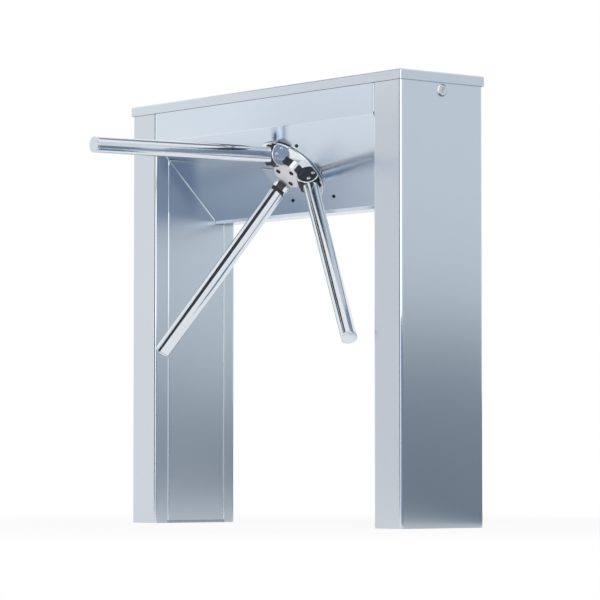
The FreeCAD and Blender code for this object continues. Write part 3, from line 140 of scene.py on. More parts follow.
# Meshes
FINE = 160                 # segments round a polished turning
SCREW_SEGMENTS = 48
SAME_POINT = 1e-6          # points nearer than this, in metres, are one
SMOOTH_ANGLE = 32.0        # sharper edges stay crisp
RIM_ANGLE = 60.0           # sharper edges are rounded by a bevel
ROUND = 0.5                # bevel profile of a circular arc
FLAT_ANGLE = 0.3           # faces nearer to one plane than this become one face
FLAT_NORMAL = 0.999        # a normal whose share along an axis is greater runs along it

# Materials
METAL = 1.0
NO_METAL = 0.0
NOISE_LOW = 0.3            # most of a noise pattern lies between these
NOISE_HIGH = 0.7

# Studio, with lengths in metres
UP = (0, 0, 1)
LEFT = (-1, 0, 0)
WINDOW_WAY = (0.78, -0.63, 0.0)            # towards the brightest side
WINDOW_FROM = 0.25                         # cosine to that way where its glow starts
WINDOW_FULL = 0.7
WINDOW_MIRRORED = 1.45                     # strength in reflections
SKY_MIRRORED = 1.0
SKY_LIGHT = 0.45                           # strength as light
SIDE_WAY = Vector((0.778, 0.626, 0))       # what the faces that look right mirror
SIDE_TURN = math.degrees(math.atan2(SIDE_WAY.y, SIDE_WAY.x))
FRONT_WAY = Vector((-0.78, -0.63, 0))      # what the faces to the passage mirror
FLOOR_HALF = 20.0
FADE_FROM = 0.8                            # shadow on the floor, from the middle of the part
FADE_TO = 1.8
FADE_SHARE = 0.9                           # share of plain white where the shadow is deepest
FLOOR_SHEET_LIFT = 0.004                         # height of the cloths, and of the sheets of painted floor shadow, that lie on the floor
LAMP_AIM = Vector((0, 0, 0.6))
LAMP_SIZE = 1.6

# Camera: its place in metres, its lens and sensor in millimetres
CAMERA_AT = (5.9992, -4.8246, 0.1467)
CAMERA_AZIMUTH = 51.201
CAMERA_ELEVATION = -2.939
CAMERA_FAR = 100.0
LENS = 191.6
SENSOR = 36.0


def colour(code):
    """Linear RGBA from an sRGB hex value."""
    channels = [int(code[i:i + 2], 16) / 255 for i in (1, 3, 5)]
    linear = [c / 12.92 if c <= 0.04045 else ((c + 0.055) / 1.055) ** 2.4 for c in channels]
    return tuple(linear) + (1.0,)


def add(tree, kind, inputs=None, **settings):
    """Adds a node with its settings; an input that is a socket is linked, and any other is set."""
    node = tree.nodes.new(kind)
    for name, value in settings.items():
        setattr(node, name, value)
    for name, value in (inputs or {}).items():
        if isinstance(value, bpy.types.NodeSocket):
            tree.links.new(value, node.inputs[name])
        else:
            node.inputs[name].default_value = value
    return node


def new_material(name):
    """An empty material and its node tree."""
    material = bpy.data.materials.new(name)
    material.use_nodes = True
    material.node_tree.nodes.clear()
    return material, material.node_tree


def finish_surface(tree, tint_by, rough_by, colours, roughness, metallic, bump=None):
    """Ends a material: one pattern blends its two colours, and one its two roughnesses."""
    light, dark = colours
    smooth, coarse = roughness
    tint = add(tree, "ShaderNodeMix", {
        "Factor": tint_by, "A": colour(dark), "B": colour(light)}, data_type="RGBA")
    rough = add(tree, "ShaderNodeMapRange", {
        "Value": rough_by, "From Min": NOISE_LOW, "From Max": NOISE_HIGH,
        "To Min": smooth, "To Max": coarse})
    inputs = {
        "Base Color": tint.outputs["Result"], "Metallic": metallic, "Roughness": rough.outputs["Result"]}
    if bump:
        inputs["Normal"] = bump.outputs["Normal"]
    shader = add(tree, "ShaderNodeBsdfPrincipled", inputs)
    add(tree, "ShaderNodeOutputMaterial", {"Surface": shader.outputs["BSDF"]})


# Kinds of material

def brushed_stainless(name, along, colours, roughness):
    """Stainless sheet brushed with a belt: fine parallel scratches that soften what it mirrors."""
    material, tree = new_material(name)
    coords = add(tree, "ShaderNodeTexCoord").outputs["Object"]
    scratch_width = 1.2 * MM       # real ones are about 0.1 mm, drawn coarser so that they show
    scratch_length = 160 * MM
    scale = [1 / scratch_width] * 3
    scale["XYZ".index(along)] = 1 / scratch_length
    stretched = add(tree, "ShaderNodeMapping", {"Vector": coords, "Scale": scale})
    scratches = add(tree, "ShaderNodeTexNoise", {
        "Vector": stretched.outputs["Vector"], "Scale": 1.0, "Detail": 4.0, "Roughness": 0.65})
    patch = 220 * MM               # slow unevenness of the rolled sheet
    clouds = add(tree, "ShaderNodeTexNoise", {"Vector": coords, "Scale": 1 / patch, "Detail": 1.0})
    blend = add(tree, "ShaderNodeMath", {
        0: scratches.outputs["Fac"], 1: clouds.outputs["Fac"]}, operation="MULTIPLY")
    scratch_depth = 0.02 * MM
    bump = add(tree, "ShaderNodeBump", {
        "Height": scratches.outputs["Fac"], "Strength": 0.02, "Distance": scratch_depth})
    finish_surface(tree, blend.outputs["Value"], scratches.outputs["Fac"], colours, roughness, METAL, bump)
    return material


def polished_metal(name, colours, roughness, wave):
    """Buffed metal: a mirror with the faint swirl that a polishing wheel leaves, wave millimetres wide."""
    material, tree = new_material(name)
    coords = add(tree, "ShaderNodeTexCoord").outputs["Object"]
    swirl = add(tree, "ShaderNodeTexNoise", {
        "Vector": coords, "Scale": 1 / (wave * MM), "Detail": 3.0, "Distortion": 0.6})
    finish_surface(tree, swirl.outputs["Fac"], swirl.outputs["Fac"], colours, roughness, METAL)
    return material


def grained(name, metallic, colours, roughness, grain, depth):
    """A matt surface with a fine grain, its width and depth in millimetres: cast, plated or moulded."""
    # Blasted and moulded grain is 0.1 to 0.3 mm wide, and is drawn coarser so that it shows
    material, tree = new_material(name)
    coords = add(tree, "ShaderNodeTexCoord").outputs["Object"]
    speckle = add(tree, "ShaderNodeTexNoise", {
        "Vector": coords, "Scale": 1 / (grain * MM), "Detail": 4.0})
    bump = add(tree, "ShaderNodeBump", {
        "Height": speckle.outputs["Fac"], "Strength": 0.3, "Distance": depth * MM})
    finish_surface(tree, speckle.outputs["Fac"], speckle.outputs["Fac"], colours, roughness, metallic, bump)
    return material


# Legs and their covers, stainless sheet belt brushed upright: satin grey that blurs what it mirrors
STEEL_UPRIGHT = brushed_stainless("brushed_stainless_upright", "Z", ("#D8DFE7", "#D2DAE2"), (0.285, 0.305))
# Fronts of the legs, the same sheet with a finer brush, and a darker tint that paints shade on them: an arm
# before it still shows as a soft band
STEEL_FRONT_PAINTED_SHADE = brushed_stainless("brushed_stainless_front_painted_shade", "Z", ("#D2D8E0", "#CCD3DB"), (0.15, 0.17))
# Lid, back and corner strips, stainless sheet belt brushed lengthwise: long faint streaks
STEEL_LENGTHWISE = brushed_stainless(
    "brushed_stainless_lengthwise", "X", ("#DBE2EA", "#CDD5DE"), (0.20, 0.26))
# Fascia and slope, the sheet with a fine lengthwise brush: the hub and the floor show as cool streaks
STEEL_SLOPE = brushed_stainless("brushed_stainless_slope", "X", ("#DCE5EE", "#D0DAE4"), (0.14, 0.20))
# Folds of the sheet and the beads on its seams, rolled smooth, with a lighter tint that paints a highlight:
# a thin bright line along each
STEEL_BEND_HIGHLIGHT = brushed_stainless("rolled_bend_painted_highlight", "Z", ("#E3E9F0", "#D9E0E8"), (0.10, 0.13))
# Arms, polished stainless tube: crisp dark and bright stripes along them
ARM_STEEL = polished_metal("polished_arm_tube", ("#E6EBF0", "#DAE0E7"), (0.09, 0.13), 14.0)
# Disc and knuckles, chrome plate on polished steel: a nearly perfect mirror
CHROME = polished_metal("polished_chrome", ("#EEF0F3", "#E2E6EA"), (0.03, 0.06), 14.0)
# Nose cap, chrome plate on a blasted face: an even pale disc that mirrors nothing sharp
SATIN = grained("satin_chrome", METAL, ("#F1F0F3", "#E6E6EA"), (0.42, 0.5), 0.6, 0.005)
# Shaft, gears and bearings, turned and ground steel: a dull grey shine with fine swirls
MACHINED = polished_metal("machined_steel", ("#B9BDC2", "#9CA1A7"), (0.22, 0.34), 3.0)
# Brackets, plates and bolts, zinc plated steel: grey with a faint spangle
ZINC = grained("zinc_plated_steel", METAL, ("#C3C8CC", "#9AA3AB"), (0.32, 0.46), 2.5, 0.02)
# Bearing housing and power supply's case, cast aluminium: pale, matt and a little rough
CAST = grained("cast_aluminium", METAL, ("#B4B8BB", "#8F9498"), (0.42, 0.58), 1.6, 0.08)
# Screws in view and the encoder disc, blackened steel: near black with a dull sheen
DARK_SCREW = grained("blackened_screw_steel", METAL, ("#3A3F46", "#22262B"), (0.3, 0.45), 1.0, 0.02)
# Lock, nickel plated brass: a clear, slightly grey mirror
NICKEL = polished_metal("nickel_plate", ("#DADCDF", "#C6C9CD"), (0.08, 0.14), 6.0)
# Root pads, sensor, and the cases of the motor and solenoids, moulded nylon: black and dull; on the root
# pads the black also paints the shade of the gap under each arm's root
BLACK_NYLON_AND_ROOT_SHADE = grained("black_nylon_and_root_shade", NO_METAL, ("#25272A", "#17181A"), (0.45, 0.6), 0.8, 0.04)
# Straps and collars, moulded grey nylon: flat dark bands between the bright knuckles
DARK_STRAP = grained("dark_grey_nylon", NO_METAL, ("#464A4F", "#3A3E43"), (0.4, 0.55), 0.8, 0.02)
# Terminal blocks, moulded ABS: mid grey with a soft sheen
GREY_PLASTIC = grained("grey_abs", NO_METAL, ("#8E949A", "#7C8288"), (0.42, 0.55), 0.9, 0.03)
# Control board, glass and epoxy laminate under green lacquer: deep green, slightly mottled
BOARD_GREEN = grained("glass_epoxy_board", NO_METAL, ("#1F6B45", "#12492E"), (0.3, 0.42), 4.0, 0.02)
# Cable grommet, moulded rubber: black, without any shine
RUBBER = grained("black_rubber", NO_METAL, ("#1E1F20", "#131415"), (0.6, 0.75), 1.2, 0.05)

FINISHES = {
    STEEL_UPRIGHT: ["left_leg_shell", "right_leg_shell", "left_leg_cover", "right_leg_cover"],
    STEEL_LENGTHWISE: ["back_panel", "lid"],
    STEEL_SLOPE: ["front_panel"],
    ARM_STEEL: ["arm_1", "arm_2", "arm_3", "arm_plugs"],
    CHROME: ["hub_disc", "knuckle_1", "knuckle_2", "knuckle_3", "knuckle_pins"],
    SATIN: ["nose_cap"],
    MACHINED: ["main_shaft", "shaft_spacers", "shaft_nut", "ring_gear", "drive_pinion", "lock_wheel",
               "front_bearing", "rear_bearing", "arm_spigots", "left_plunger", "right_plunger",
               "pawl_pins"],
    ZINC: ["beam_bolts", "left_beam_bracket", "right_beam_bracket", "left_base_plate",
           "right_base_plate", "lid_locators", "lid_strike", "housing_screws", "carrier_screws",
           "hub_bolts", "lock_nut", "lock_cam", "left_pawl", "right_pawl", "mechanism_plate",
           "carrier_plate", "board_standoffs"],
    CAST: ["bearing_housing", "power_supply"],
    DARK_SCREW: ["plate_screws", "nose_screws", "encoder_disc"],
    NICKEL: ["lock_body", "lock_plug"],
    BLACK_NYLON_AND_ROOT_SHADE: ["encoder_sensor", "drive_motor", "left_solenoid", "right_solenoid"],
    GREY_PLASTIC: ["terminal_blocks"],
    BOARD_GREEN: ["control_board"],
    RUBBER: ["cable_grommet"],
}
NODE_FINISH = {node: material for material, nodes in FINISHES.items() for node in nodes}

for node_name, node_object in frame["nodes"].items():
    node_object.data.materials.clear()
    node_object.data.materials.append(NODE_FINISH[node_name])


# Places on the rotor

def rotor_frame():
    """Matrix from the rotor's own frame to the row frame, from the rotor's joint."""
    joint = next(j for j in frame["joints"] if j["name"] == "rotor_turn")
    out = Vector(joint["axis"]).normalized()
    along = Vector((1, 0, 0))
    up_slope = out.cross(along)
    turn = Matrix((along, up_slope, out)).transposed().to_4x4()
    return Matrix.Translation(joint["pos_m"]) @ turn


SLOPE_FRAME = rotor_frame()
SLOPE_OUT = SLOPE_FRAME.to_3x3() @ Vector(UP)
HUB_FRAME = SLOPE_FRAME @ Matrix.Rotation(math.radians(REST_TURN), 4, "Z")


def moved(x, y, z):
    """Matrix that moves by millimetres."""
    return Matrix.Translation(Vector((x, y, z)) * MM)


def arm_turn(index):
    """Matrix that turns the hub from its first arm to another."""
    return Matrix.Rotation(FULL_TURN * index / ARM_COUNT, 4, "Z")


def knuckle_frame(index):
    """Matrix from a knuckle's centre, Z out of the slope and Y away from the hub, to the row frame."""
    return HUB_FRAME @ arm_turn(index) @ moved(0, KNUCKLE_PITCH_R, DISC_FACE)


def arm_frame(index):
    """Matrix from a knuckle's centre, Z along its arm, to the row frame."""
    return knuckle_frame(index) @ Matrix.Rotation(math.radians(-ARM_ANGLE), 4, "X")


# Mesh helpers

def arc(radius, start, end, count):
    """Points of an arc round the origin, by radians from the second axis towards the first."""
    angles = [start + (end - start) * i / count for i in range(count + 1)]
    return [(radius * math.sin(a), radius * math.cos(a)) for a in angles]


def extruded(outline, reach):
    """A closed bmesh between a flat outline in millimetres and its copy moved by reach."""
    bm = bmesh.new()
    face = bm.faces.new([bm.verts.new(Vector(point) * MM) for point in outline])
    far = bmesh.ops.extrude_face_region(bm, geom=[face])["geom"]
    far_verts = [v for v in far if isinstance(v, bmesh.types.BMVert)]
    bmesh.ops.translate(bm, verts=far_verts, vec=Vector(reach) * MM)
    bmesh.ops.recalc_face_normals(bm, faces=bm.faces)
    return bm


def lathe(profile, segments):
    """A bmesh turned about Z from (radius, height) points in millimetres.

    A profile that starts on the axis ends there too, and any other is closed to a ring.
    """
    bm = bmesh.new()
    points = [bm.verts.new((r * MM, 0, z * MM)) for r, z in profile]
    edges = [bm.edges.new(pair) for pair in zip(points, points[1:])]
    if profile[0][0] > 0:
        edges.append(bm.edges.new((points[-1], points[0])))
    bmesh.ops.spin(bm, geom=points + edges, cent=(0, 0, 0), axis=UP, dvec=(0, 0, 0),
                   angle=FULL_TURN, steps=segments, use_merge=True, use_duplicate=False)
    bmesh.ops.remove_doubles(bm, verts=bm.verts, dist=SAME_POINT)
    bmesh.ops.recalc_face_normals(bm, faces=bm.faces)
    return bm


def rounded_rim(radius, height, edge):
    """Profile points round an outer edge, from the side to the top."""
    corner = edge / 3          # close to the middle of an arc
    return [(radius, height - edge), (radius - corner, height - corner), (radius - edge, height)]


def placed(bm, matrix):
    """Moves a bmesh by a matrix."""
    bmesh.ops.transform(bm, matrix=matrix, verts=bm.verts)
    return bm


def joined(bms):
    """Several bmeshes as one."""
    whole = bmesh.new()
    for bm in bms:
        mesh = bpy.data.meshes.new("joining")
        bm.to_mesh(mesh)
        bm.free()
        whole.from_mesh(mesh)
        bpy.data.meshes.remove(mesh)
    return whole


def smooth_by_angle(bm):
    """Rounds the shading, apart from edges sharper than SMOOTH_ANGLE."""
    limit = math.radians(SMOOTH_ANGLE)
    for face in bm.faces:
        face.smooth = True
    for edge in bm.edges:
        edge.smooth = edge.calc_face_angle(0.0) < limit


def mesh_object(name, bm, materials):
    """An object of a bmesh, with its materials."""
    mesh = bpy.data.meshes.new(name)
    bm.to_mesh(mesh)
    bm.free()
    for material in materials:
        mesh.materials.append(material)
    obj = bpy.data.objects.new(name, mesh)
    bpy.context.scene.collection.objects.link(obj)
    return obj


def piece(name, bm, materials, body, slot, *nodes):
    """Makes an object of a bmesh, lets it ride on a body and stand for CAD nodes."""
    smooth_by_angle(bm)
    obj = mesh_object(name, bm, materials)
    weighted = obj.modifiers.new("flat_faces_stay_flat", "WEIGHTED_NORMAL")
    weighted.mode = "FACE_AREA"
    weighted.keep_sharp = True
    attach(obj, body)
    if nodes:
        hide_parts(*nodes)


def is_flat(normal):
    """Whether a face of the sheet is none of its bends."""
    return max(abs(c) for c in normal) > FLAT_NORMAL or abs(normal.dot(SLOPE_OUT)) > FLAT_NORMAL


def smooth_copy(node, body, slot, bend=None, front=None):
    """A copy of a CAD node, shaded smooth; its bends may take a lighter finish that paints a highlight, and
    its faces to the passage a darker one that paints shade.
    """
    bm = bmesh.new()
    bm.from_mesh(frame["nodes"][node].data)
    bmesh.ops.remove_doubles(bm, verts=bm.verts, dist=SAME_POINT)
    bmesh.ops.dissolve_limit(bm, angle_limit=math.radians(FLAT_ANGLE), use_dissolve_boundaries=False,
                             verts=bm.verts, edges=bm.edges)
    materials = [finish for finish in (NODE_FINISH[node], bend, front) if finish]
    for face in bm.faces:
        finish = NODE_FINISH[node]
        if bend and not is_flat(face.normal):
            finish = bend
        if front and face.normal.y < -FLAT_NORMAL:
            finish = front
        face.material_index = materials.index(finish)
    piece(node + "_smooth", bm, materials, body, slot, node)


# Rotor

def arm_tube(index):
    """Polished tube with its root coped to the knuckle."""
    inner = ARM_R - ARM_WALL
    tip = KNUCKLE_TO_TIP - PLUG_LENGTH
    chamfer = [(ARM_R, tip - TIP_CHAMFER), (ARM_R - TIP_CHAMFER, tip)]
    bm = lathe([(inner, 0), (ARM_R, 0)] + chamfer + [(inner, tip)], FINE)
    for vert in bm.verts:
        if vert.co.z < tip * MM / 2:
            vert.co.z = math.sqrt((COPE_R * MM) ** 2 - vert.co.y ** 2)
    return placed(bm, arm_frame(index))


def saddle_pad(index):
    """Black pad bent round the knuckle, which the arm's root stands on; its black also paints the shade of
    the gap under the root.
    """
    bm = bmesh.new()
    half = PAD_WIDTH / 2
    outer = PAD_R + PAD_THICK
    section = [(-half, PAD_R), (half, PAD_R), (half, outer), (-half, outer)]
    corners = [bm.verts.new(Vector((x, 0, z)) * MM) for x, z in section]
    edges = [bm.edges.new(pair) for pair in zip(corners, corners[1:] + corners[:1])]
    start = Matrix.Rotation(-math.radians(PAD_FROM), 4, "X")
    bmesh.ops.transform(bm, matrix=start, verts=corners)
    bmesh.ops.spin(bm, geom=corners + edges, cent=(0, 0, 0), axis=(1, 0, 0), dvec=(0, 0, 0),
                   angle=-math.radians(PAD_TO - PAD_FROM), steps=BAND_STEPS,
                   use_merge=False, use_duplicate=False)
    bmesh.ops.holes_fill(bm, edges=[e for e in bm.edges if e.is_boundary], sides=len(section))
    bmesh.ops.recalc_face_normals(bm, faces=bm.faces)
    rims = [e for e in bm.edges if e.calc_face_angle(0.0) > math.radians(RIM_ANGLE)]
    bmesh.ops.bevel(bm, geom=rims, offset=PAD_EDGE * MM, affect="EDGES", segments=PAD_EDGE_STEPS,
                    profile=ROUND, material=-1)
    return placed(bm, arm_frame(index))


def knuckle_strap(index):
    """Dark strap over the middle of the knuckle's round and down its end at the nose cap."""
    end = NOSE_FACE - DISC_FACE + STRAP_OVER_NOSE
    skins = []
    for lift in (STRAP_THICK, 0):
        radius = STRAP_R + lift
        inside = STRAP_INSIDE + lift
        bend = arc(radius, math.radians(STRAP_FROM), -math.asin(inside / radius), BAND_STEPS)
        skins.append(bend + [(-inside, end)])
    outer, inner = skins
    outline = [(-STRAP_WIDTH / 2, y, z) for y, z in outer + inner[::-1]]
    return placed(extruded(outline, (STRAP_WIDTH, 0, 0)), knuckle_frame(index))


def neck_collar(index, side):
    """Dark plate round the corner between one flank of a knuckle and the nose cap's wall."""
    skins = []
    for lift in (FIT + COLLAR_THICK, FIT):
        radius = NOSE_R + lift
        flank = KNUCKLE_THICK / 2 + lift
        bend = arc(radius, math.asin(flank / radius), math.radians(COLLAR_TURN), COLLAR_STEPS)
        skins.append([(flank, COLLAR_OUT)] + bend)
    outer, inner = skins
    foot = DISC_FACE + FIT
    outline = [(side * x, y, foot) for x, y in outer + inner[::-1]]
    return placed(extruded(outline, (0, 0, NOSE_FACE - NOSE_EDGE - foot)), HUB_FRAME @ arm_turn(index))


def arm_plug(index):
    """End plug with a rounded rim and a fine groove against the tube."""
    tip = KNUCKLE_TO_TIP
    shoulder = tip - PLUG_LENGTH
    groove = shoulder + PLUG_GROOVE / 2
    stem_r = ARM_R - ARM_WALL - PLUG_GROOVE
    stem = [(0, shoulder - PLUG_LENGTH), (stem_r, shoulder - PLUG_LENGTH), (stem_r, groove)]
    head = [(ARM_R - PLUG_GROOVE, groove), (ARM_R, shoulder + PLUG_GROOVE)]
    bm = lathe(stem + head + rounded_rim(ARM_R, tip, PLUG_EDGE) + [(0, tip)], FINE)
    return placed(bm, arm_frame(index))


def hub_disc():
    """Mirror disc with a rounded rim."""
    chamfer = DISC_EDGE / 2
    back = [(0, DISC_BACK), (DISC_R - chamfer, DISC_BACK), (DISC_R, DISC_BACK + chamfer)]
    bm = lathe(back + rounded_rim(DISC_R, DISC_FACE, DISC_EDGE) + [(0, DISC_FACE)], FINE)
    return placed(bm, HUB_FRAME)


def nose_cap():
    """Turned cap, its rim rounded by a bevel; the side wall takes the second material."""
    bm = lathe([(0, DISC_FACE), (NOSE_R, DISC_FACE), (NOSE_R, NOSE_FACE), (0, NOSE_FACE)], FINE)
    half_up = (DISC_FACE + NOSE_FACE) / 2 * MM
    rim = [e for e in bm.edges if e.calc_face_angle(0.0) > math.radians(RIM_ANGLE)
           and all(v.co.z > half_up for v in e.verts)]
    bmesh.ops.bevel(bm, geom=rim, offset=NOSE_EDGE * MM, affect="EDGES", segments=NOSE_EDGE_STEPS,
                    profile=ROUND, material=-1)
    for face in bm.faces:
        face.material_index = 1 if abs(face.normal.z) < 1 - FLAT_NORMAL else 0
    return placed(bm, HUB_FRAME)


def socket_head(radius, height):
    """Button screw head with a hexagon socket, standing on z = 0."""
    edge = height * HEAD_EDGE
    rounding = [(radius - edge * inwards, height - edge * down) for inwards, down in HEAD_ROUNDING]
    bm = lathe([(0, 0), (radius, 0)] + rounding + [(0, height)], SCREW_SEGMENTS)
    top = [f for f in bm.faces if f.normal.z > FLAT_NORMAL]
    face = bmesh.ops.dissolve_faces(bm, faces=top)["region"][0]
    bmesh.ops.inset_region(bm, faces=[face], thickness=radius * SOCKET_INSET * MM, use_even_offset=True)
    for vert in face.verts:
        angle = math.atan2(vert.co.y, vert.co.x)
        from_flat = angle % SIXTH_TURN - SIXTH_TURN / 2
        reach = radius * SOCKET_FLATS * MM / math.cos(from_flat)
        vert.co.x = reach * math.cos(angle)
        vert.co.y = reach * math.sin(angle)
    sunk = bmesh.ops.extrude_face_region(bm, geom=[face])["geom"]
    floor_verts = [v for v in sunk if isinstance(v, bmesh.types.BMVert)]
    bmesh.ops.translate(bm, verts=floor_verts, vec=(0, 0, -height * SOCKET_DEPTH * MM))
    bmesh.ops.delete(bm, geom=[face], context="FACES_ONLY")
    return bm


def slope_screws():
    """Four screws in the slope round the hub."""
    half_x, half_y = (spacing / 2 for spacing in SLOPE_SCREW_SPACING)
    middle_x, middle_y = SLOPE_SCREW_MIDDLE
    heads = []
    for x in (middle_x - half_x, middle_x + half_x):
        for y in (middle_y - half_y, middle_y + half_y):
            heads.append(placed(socket_head(*SLOPE_SCREW_HEAD), SLOPE_FRAME @ moved(x, y, 0)))
    return joined(heads)


def nose_screws():
    """Three screws in the nose cap."""
    first = Matrix.Rotation(math.radians(NOSE_SCREW_TURN), 4, "Z")
    place = first @ moved(0, -NOSE_SCREW_PITCH_R, NOSE_FACE)
    return joined([placed(socket_head(*NOSE_SCREW_HEAD), HUB_FRAME @ arm_turn(i) @ place)
                   for i in range(ARM_COUNT)])


def pin_heads():
    """Domed heads of the cross pins, one on each cheek of a knuckle."""
    radius, height = PIN_HEAD
    dome = [(radius * r, height * h) for r, h in PIN_DOME]
    profile = [(0, 0), (radius, 0)] + dome + [(0, height)]
    heads = []
    for i in range(ARM_COUNT):
        for side in SIDES:
            place = moved(side * KNUCKLE_THICK / 2, 0, PIN_ALONG)
            turn = Matrix.Rotation(side * math.pi / 2, 4, "Y")
            heads.append(placed(lathe(profile, SCREW_SEGMENTS), arm_frame(i) @ place @ turn))
    return joined(heads)


for number in range(ARM_COUNT):
    label = "arm_%d" % (number + 1)
    piece(label + "_tube", arm_tube(number), [ARM_STEEL], "rotor", "polished_chrome", label)
root_pads = joined([saddle_pad(i) for i in range(ARM_COUNT)])
piece("arm_root_pads", root_pads, [BLACK_NYLON_AND_ROOT_SHADE], "rotor", "black_plastic")
straps = joined([knuckle_strap(i) for i in range(ARM_COUNT)])
piece("knuckle_straps", straps, [DARK_STRAP], "rotor", "black_plastic")
collars = joined([neck_collar(i, side) for i in range(ARM_COUNT) for side in SIDES])
piece("neck_collars", collars, [DARK_STRAP], "rotor", "black_plastic")
end_plugs = joined([arm_plug(i) for i in range(ARM_COUNT)])
piece("arm_end_plugs", end_plugs, [ARM_STEEL], "rotor", "polished_chrome", "arm_plugs")
piece("hub_mirror_disc", hub_disc(), [CHROME], "rotor", "polished_chrome", "hub_disc")
piece("hub_nose_cap", nose_cap(), [SATIN, CHROME], "rotor", "polished_chrome", "nose_cap")
piece("nose_screw_heads", nose_screws(), [DARK_SCREW], "rotor", "dark_screw", "nose_screws")
piece("knuckle_pin_heads", pin_heads(), [CHROME], "rotor", "polished_chrome", "knuckle_pins")
piece("slope_screw_heads", slope_screws(), [DARK_SCREW], "cabinet", "dark_screw", "plate_screws")
for number in range(ARM_COUNT):
    smooth_copy("knuckle_%d" % (number + 1), "rotor", "polished_chrome")


# Cabinet

def joint_trim(side):
    """Corner strip between the slope and the inner face of a leg."""
    corner = Vector((side * (LEG_INNER_X - TRIM_FIT), TRIM_FROM, TRIM_FIT))
    corners = [corner, corner - Vector((side * TRIM, 0, 0)), corner + Vector((0, 0, TRIM))]
    return placed(extruded(corners, (0, TRIM_TO - TRIM_FROM, 0)), SLOPE_FRAME)


def seam_bead(side):
    """Half-round bead over the seam between a leg cover and the leg's rear return, up to the beam."""
    face = side * (LEG_INNER_X - FIT)
    half_round = arc(BEAD_R, 0, math.pi, BEAD_STEPS)
    outline = [(face - side * x, BEAD_Y + y, BEAD_FOOT) for x, y in half_round]
    beam_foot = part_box("front_panel")[0].z / MM
    return extruded(outline, (0, 0, beam_foot - FIT - BEAD_FOOT))


# Each bead stands in for the bright edge line along a rear seam, over the dark gap there, and carries the
# folds' painted highlight
beads = joined([seam_bead(side) for side in SIDES])
piece("leg_seam_beads", beads, [STEEL_BEND_HIGHLIGHT], "cabinet", "brushed_sheet")
trims = joined([joint_trim(side) for side in SIDES])
piece("slope_joint_trims", trims, [STEEL_LENGTHWISE], "cabinet", "brushed_sheet")
# The legs' bends get the painted highlight of the lighter tint, and their fronts the painted shade of the
# darker one
for node_name in ("left_leg_shell", "right_leg_shell"):
    smooth_copy(node_name, "cabinet", "brushed_sheet", STEEL_BEND_HIGHLIGHT, STEEL_FRONT_PAINTED_SHADE)
for node_name in ("left_leg_cover", "right_leg_cover", "back_panel"):
    smooth_copy(node_name, "cabinet", "brushed_sheet", STEEL_BEND_HIGHLIGHT)
smooth_copy("front_panel", "cabinet", "sloped_sheet", STEEL_BEND_HIGHLIGHT)
smooth_copy("lid", "lid", "brushed_sheet", STEEL_BEND_HIGHLIGHT)
smooth_copy("lock_body", "cabinet", "lock_nickel")


# Stage

def floor():
    """Pale floor: a faint shadow round the feet, running out into white."""
    material, tree = new_material("pale_floor")
    path = add(tree, "ShaderNodeLightPath")
    seen = add(tree, "ShaderNodeMath", {
        0: path.outputs["Is Camera Ray"], 1: path.outputs["Is Glossy Ray"]}, operation="MAXIMUM")
    coords = add(tree, "ShaderNodeTexCoord").outputs["Object"]
    distance = add(tree, "ShaderNodeVectorMath", {0: coords}, operation="LENGTH")
    share = add(tree, "ShaderNodeMapRange", {
        "Value": distance.outputs["Value"], "From Min": FADE_FROM, "From Max": FADE_TO,
        "To Min": FADE_SHARE, "To Max": 1.0})
    shown = add(tree, "ShaderNodeMath", {
        0: seen.outputs["Value"], 1: share.outputs["Result"]}, operation="MULTIPLY")
    grey = add(tree, "ShaderNodeBsdfDiffuse", {"Color": colour("#E9EAEC")})
    white = add(tree, "ShaderNodeEmission", {"Color": colour("#FFFFFF"), "Strength": 1.0})
    mixed = add(tree, "ShaderNodeMixShader", {
        0: shown.outputs["Value"], 1: grey.outputs["BSDF"], 2: white.outputs["Emission"]})
    add(tree, "ShaderNodeOutputMaterial", {"Surface": mixed.outputs["Shader"]})
    bm = bmesh.new()
    bmesh.ops.create_grid(bm, x_segments=1, y_segments=1, size=FLOOR_HALF)
    obj = mesh_object("floor", bm, [material])


def card(name, centre, facing, width, height, shade, turn=0.0):
    """A glowing sheet turned in its own plane by an angle, seen only in reflections and from its front:
    mostly a studio cloth; some are painted shade, and one a painted reflection.
    """
    material, tree = new_material(name + "_reflected_sheet")
    emission = add(tree, "ShaderNodeEmission", {"Color": colour(shade), "Strength": 1.0})
    clear = add(tree, "ShaderNodeBsdfTransparent")
    behind = add(tree, "ShaderNodeNewGeometry").outputs["Backfacing"]
    one_sided = add(tree, "ShaderNodeMixShader", {
        0: behind, 1: emission.outputs["Emission"], 2: clear.outputs["BSDF"]})
    add(tree, "ShaderNodeOutputMaterial", {"Surface": one_sided.outputs["Shader"]})
    bm = bmesh.new()
    bmesh.ops.create_grid(bm, x_segments=1, y_segments=1, size=1 / 2)
    bmesh.ops.scale(bm, vec=(width, height, 1), verts=bm.verts)
    face = Vector(facing).to_track_quat("Z", "Y").to_matrix().to_4x4()
    in_plane = Matrix.Rotation(math.radians(turn), 4, "Z")
    bmesh.ops.transform(bm, matrix=Matrix.Translation(centre) @ face @ in_plane, verts=bm.verts)
    obj = mesh_object(name, bm, [material])
    obj.visible_camera = False
    obj.visible_diffuse = False
    obj.visible_shadow = False
    obj.visible_transmission = False


def stand(way, ahead, aside, height):
    """A place ahead along a level way, aside to its left, and above the floor."""
    return way * ahead + Vector((-way.y, way.x, 0)) * aside + Vector((0, 0, height))


def lamp(name, at, watts):
    """A soft square lamp aimed at the part, and not seen in its reflections."""
    data = bpy.data.lights.new(name, "AREA")
    data.size = LAMP_SIZE
    data.energy = watts
    obj = bpy.data.objects.new(name, data)
    obj.location = at
    obj.rotation_mode = "QUATERNION"
    obj.rotation_quaternion = (LAMP_AIM - Vector(at)).to_track_quat("-Z", "Y")
    obj.visible_glossy = False
    bpy.context.scene.collection.objects.link(obj)


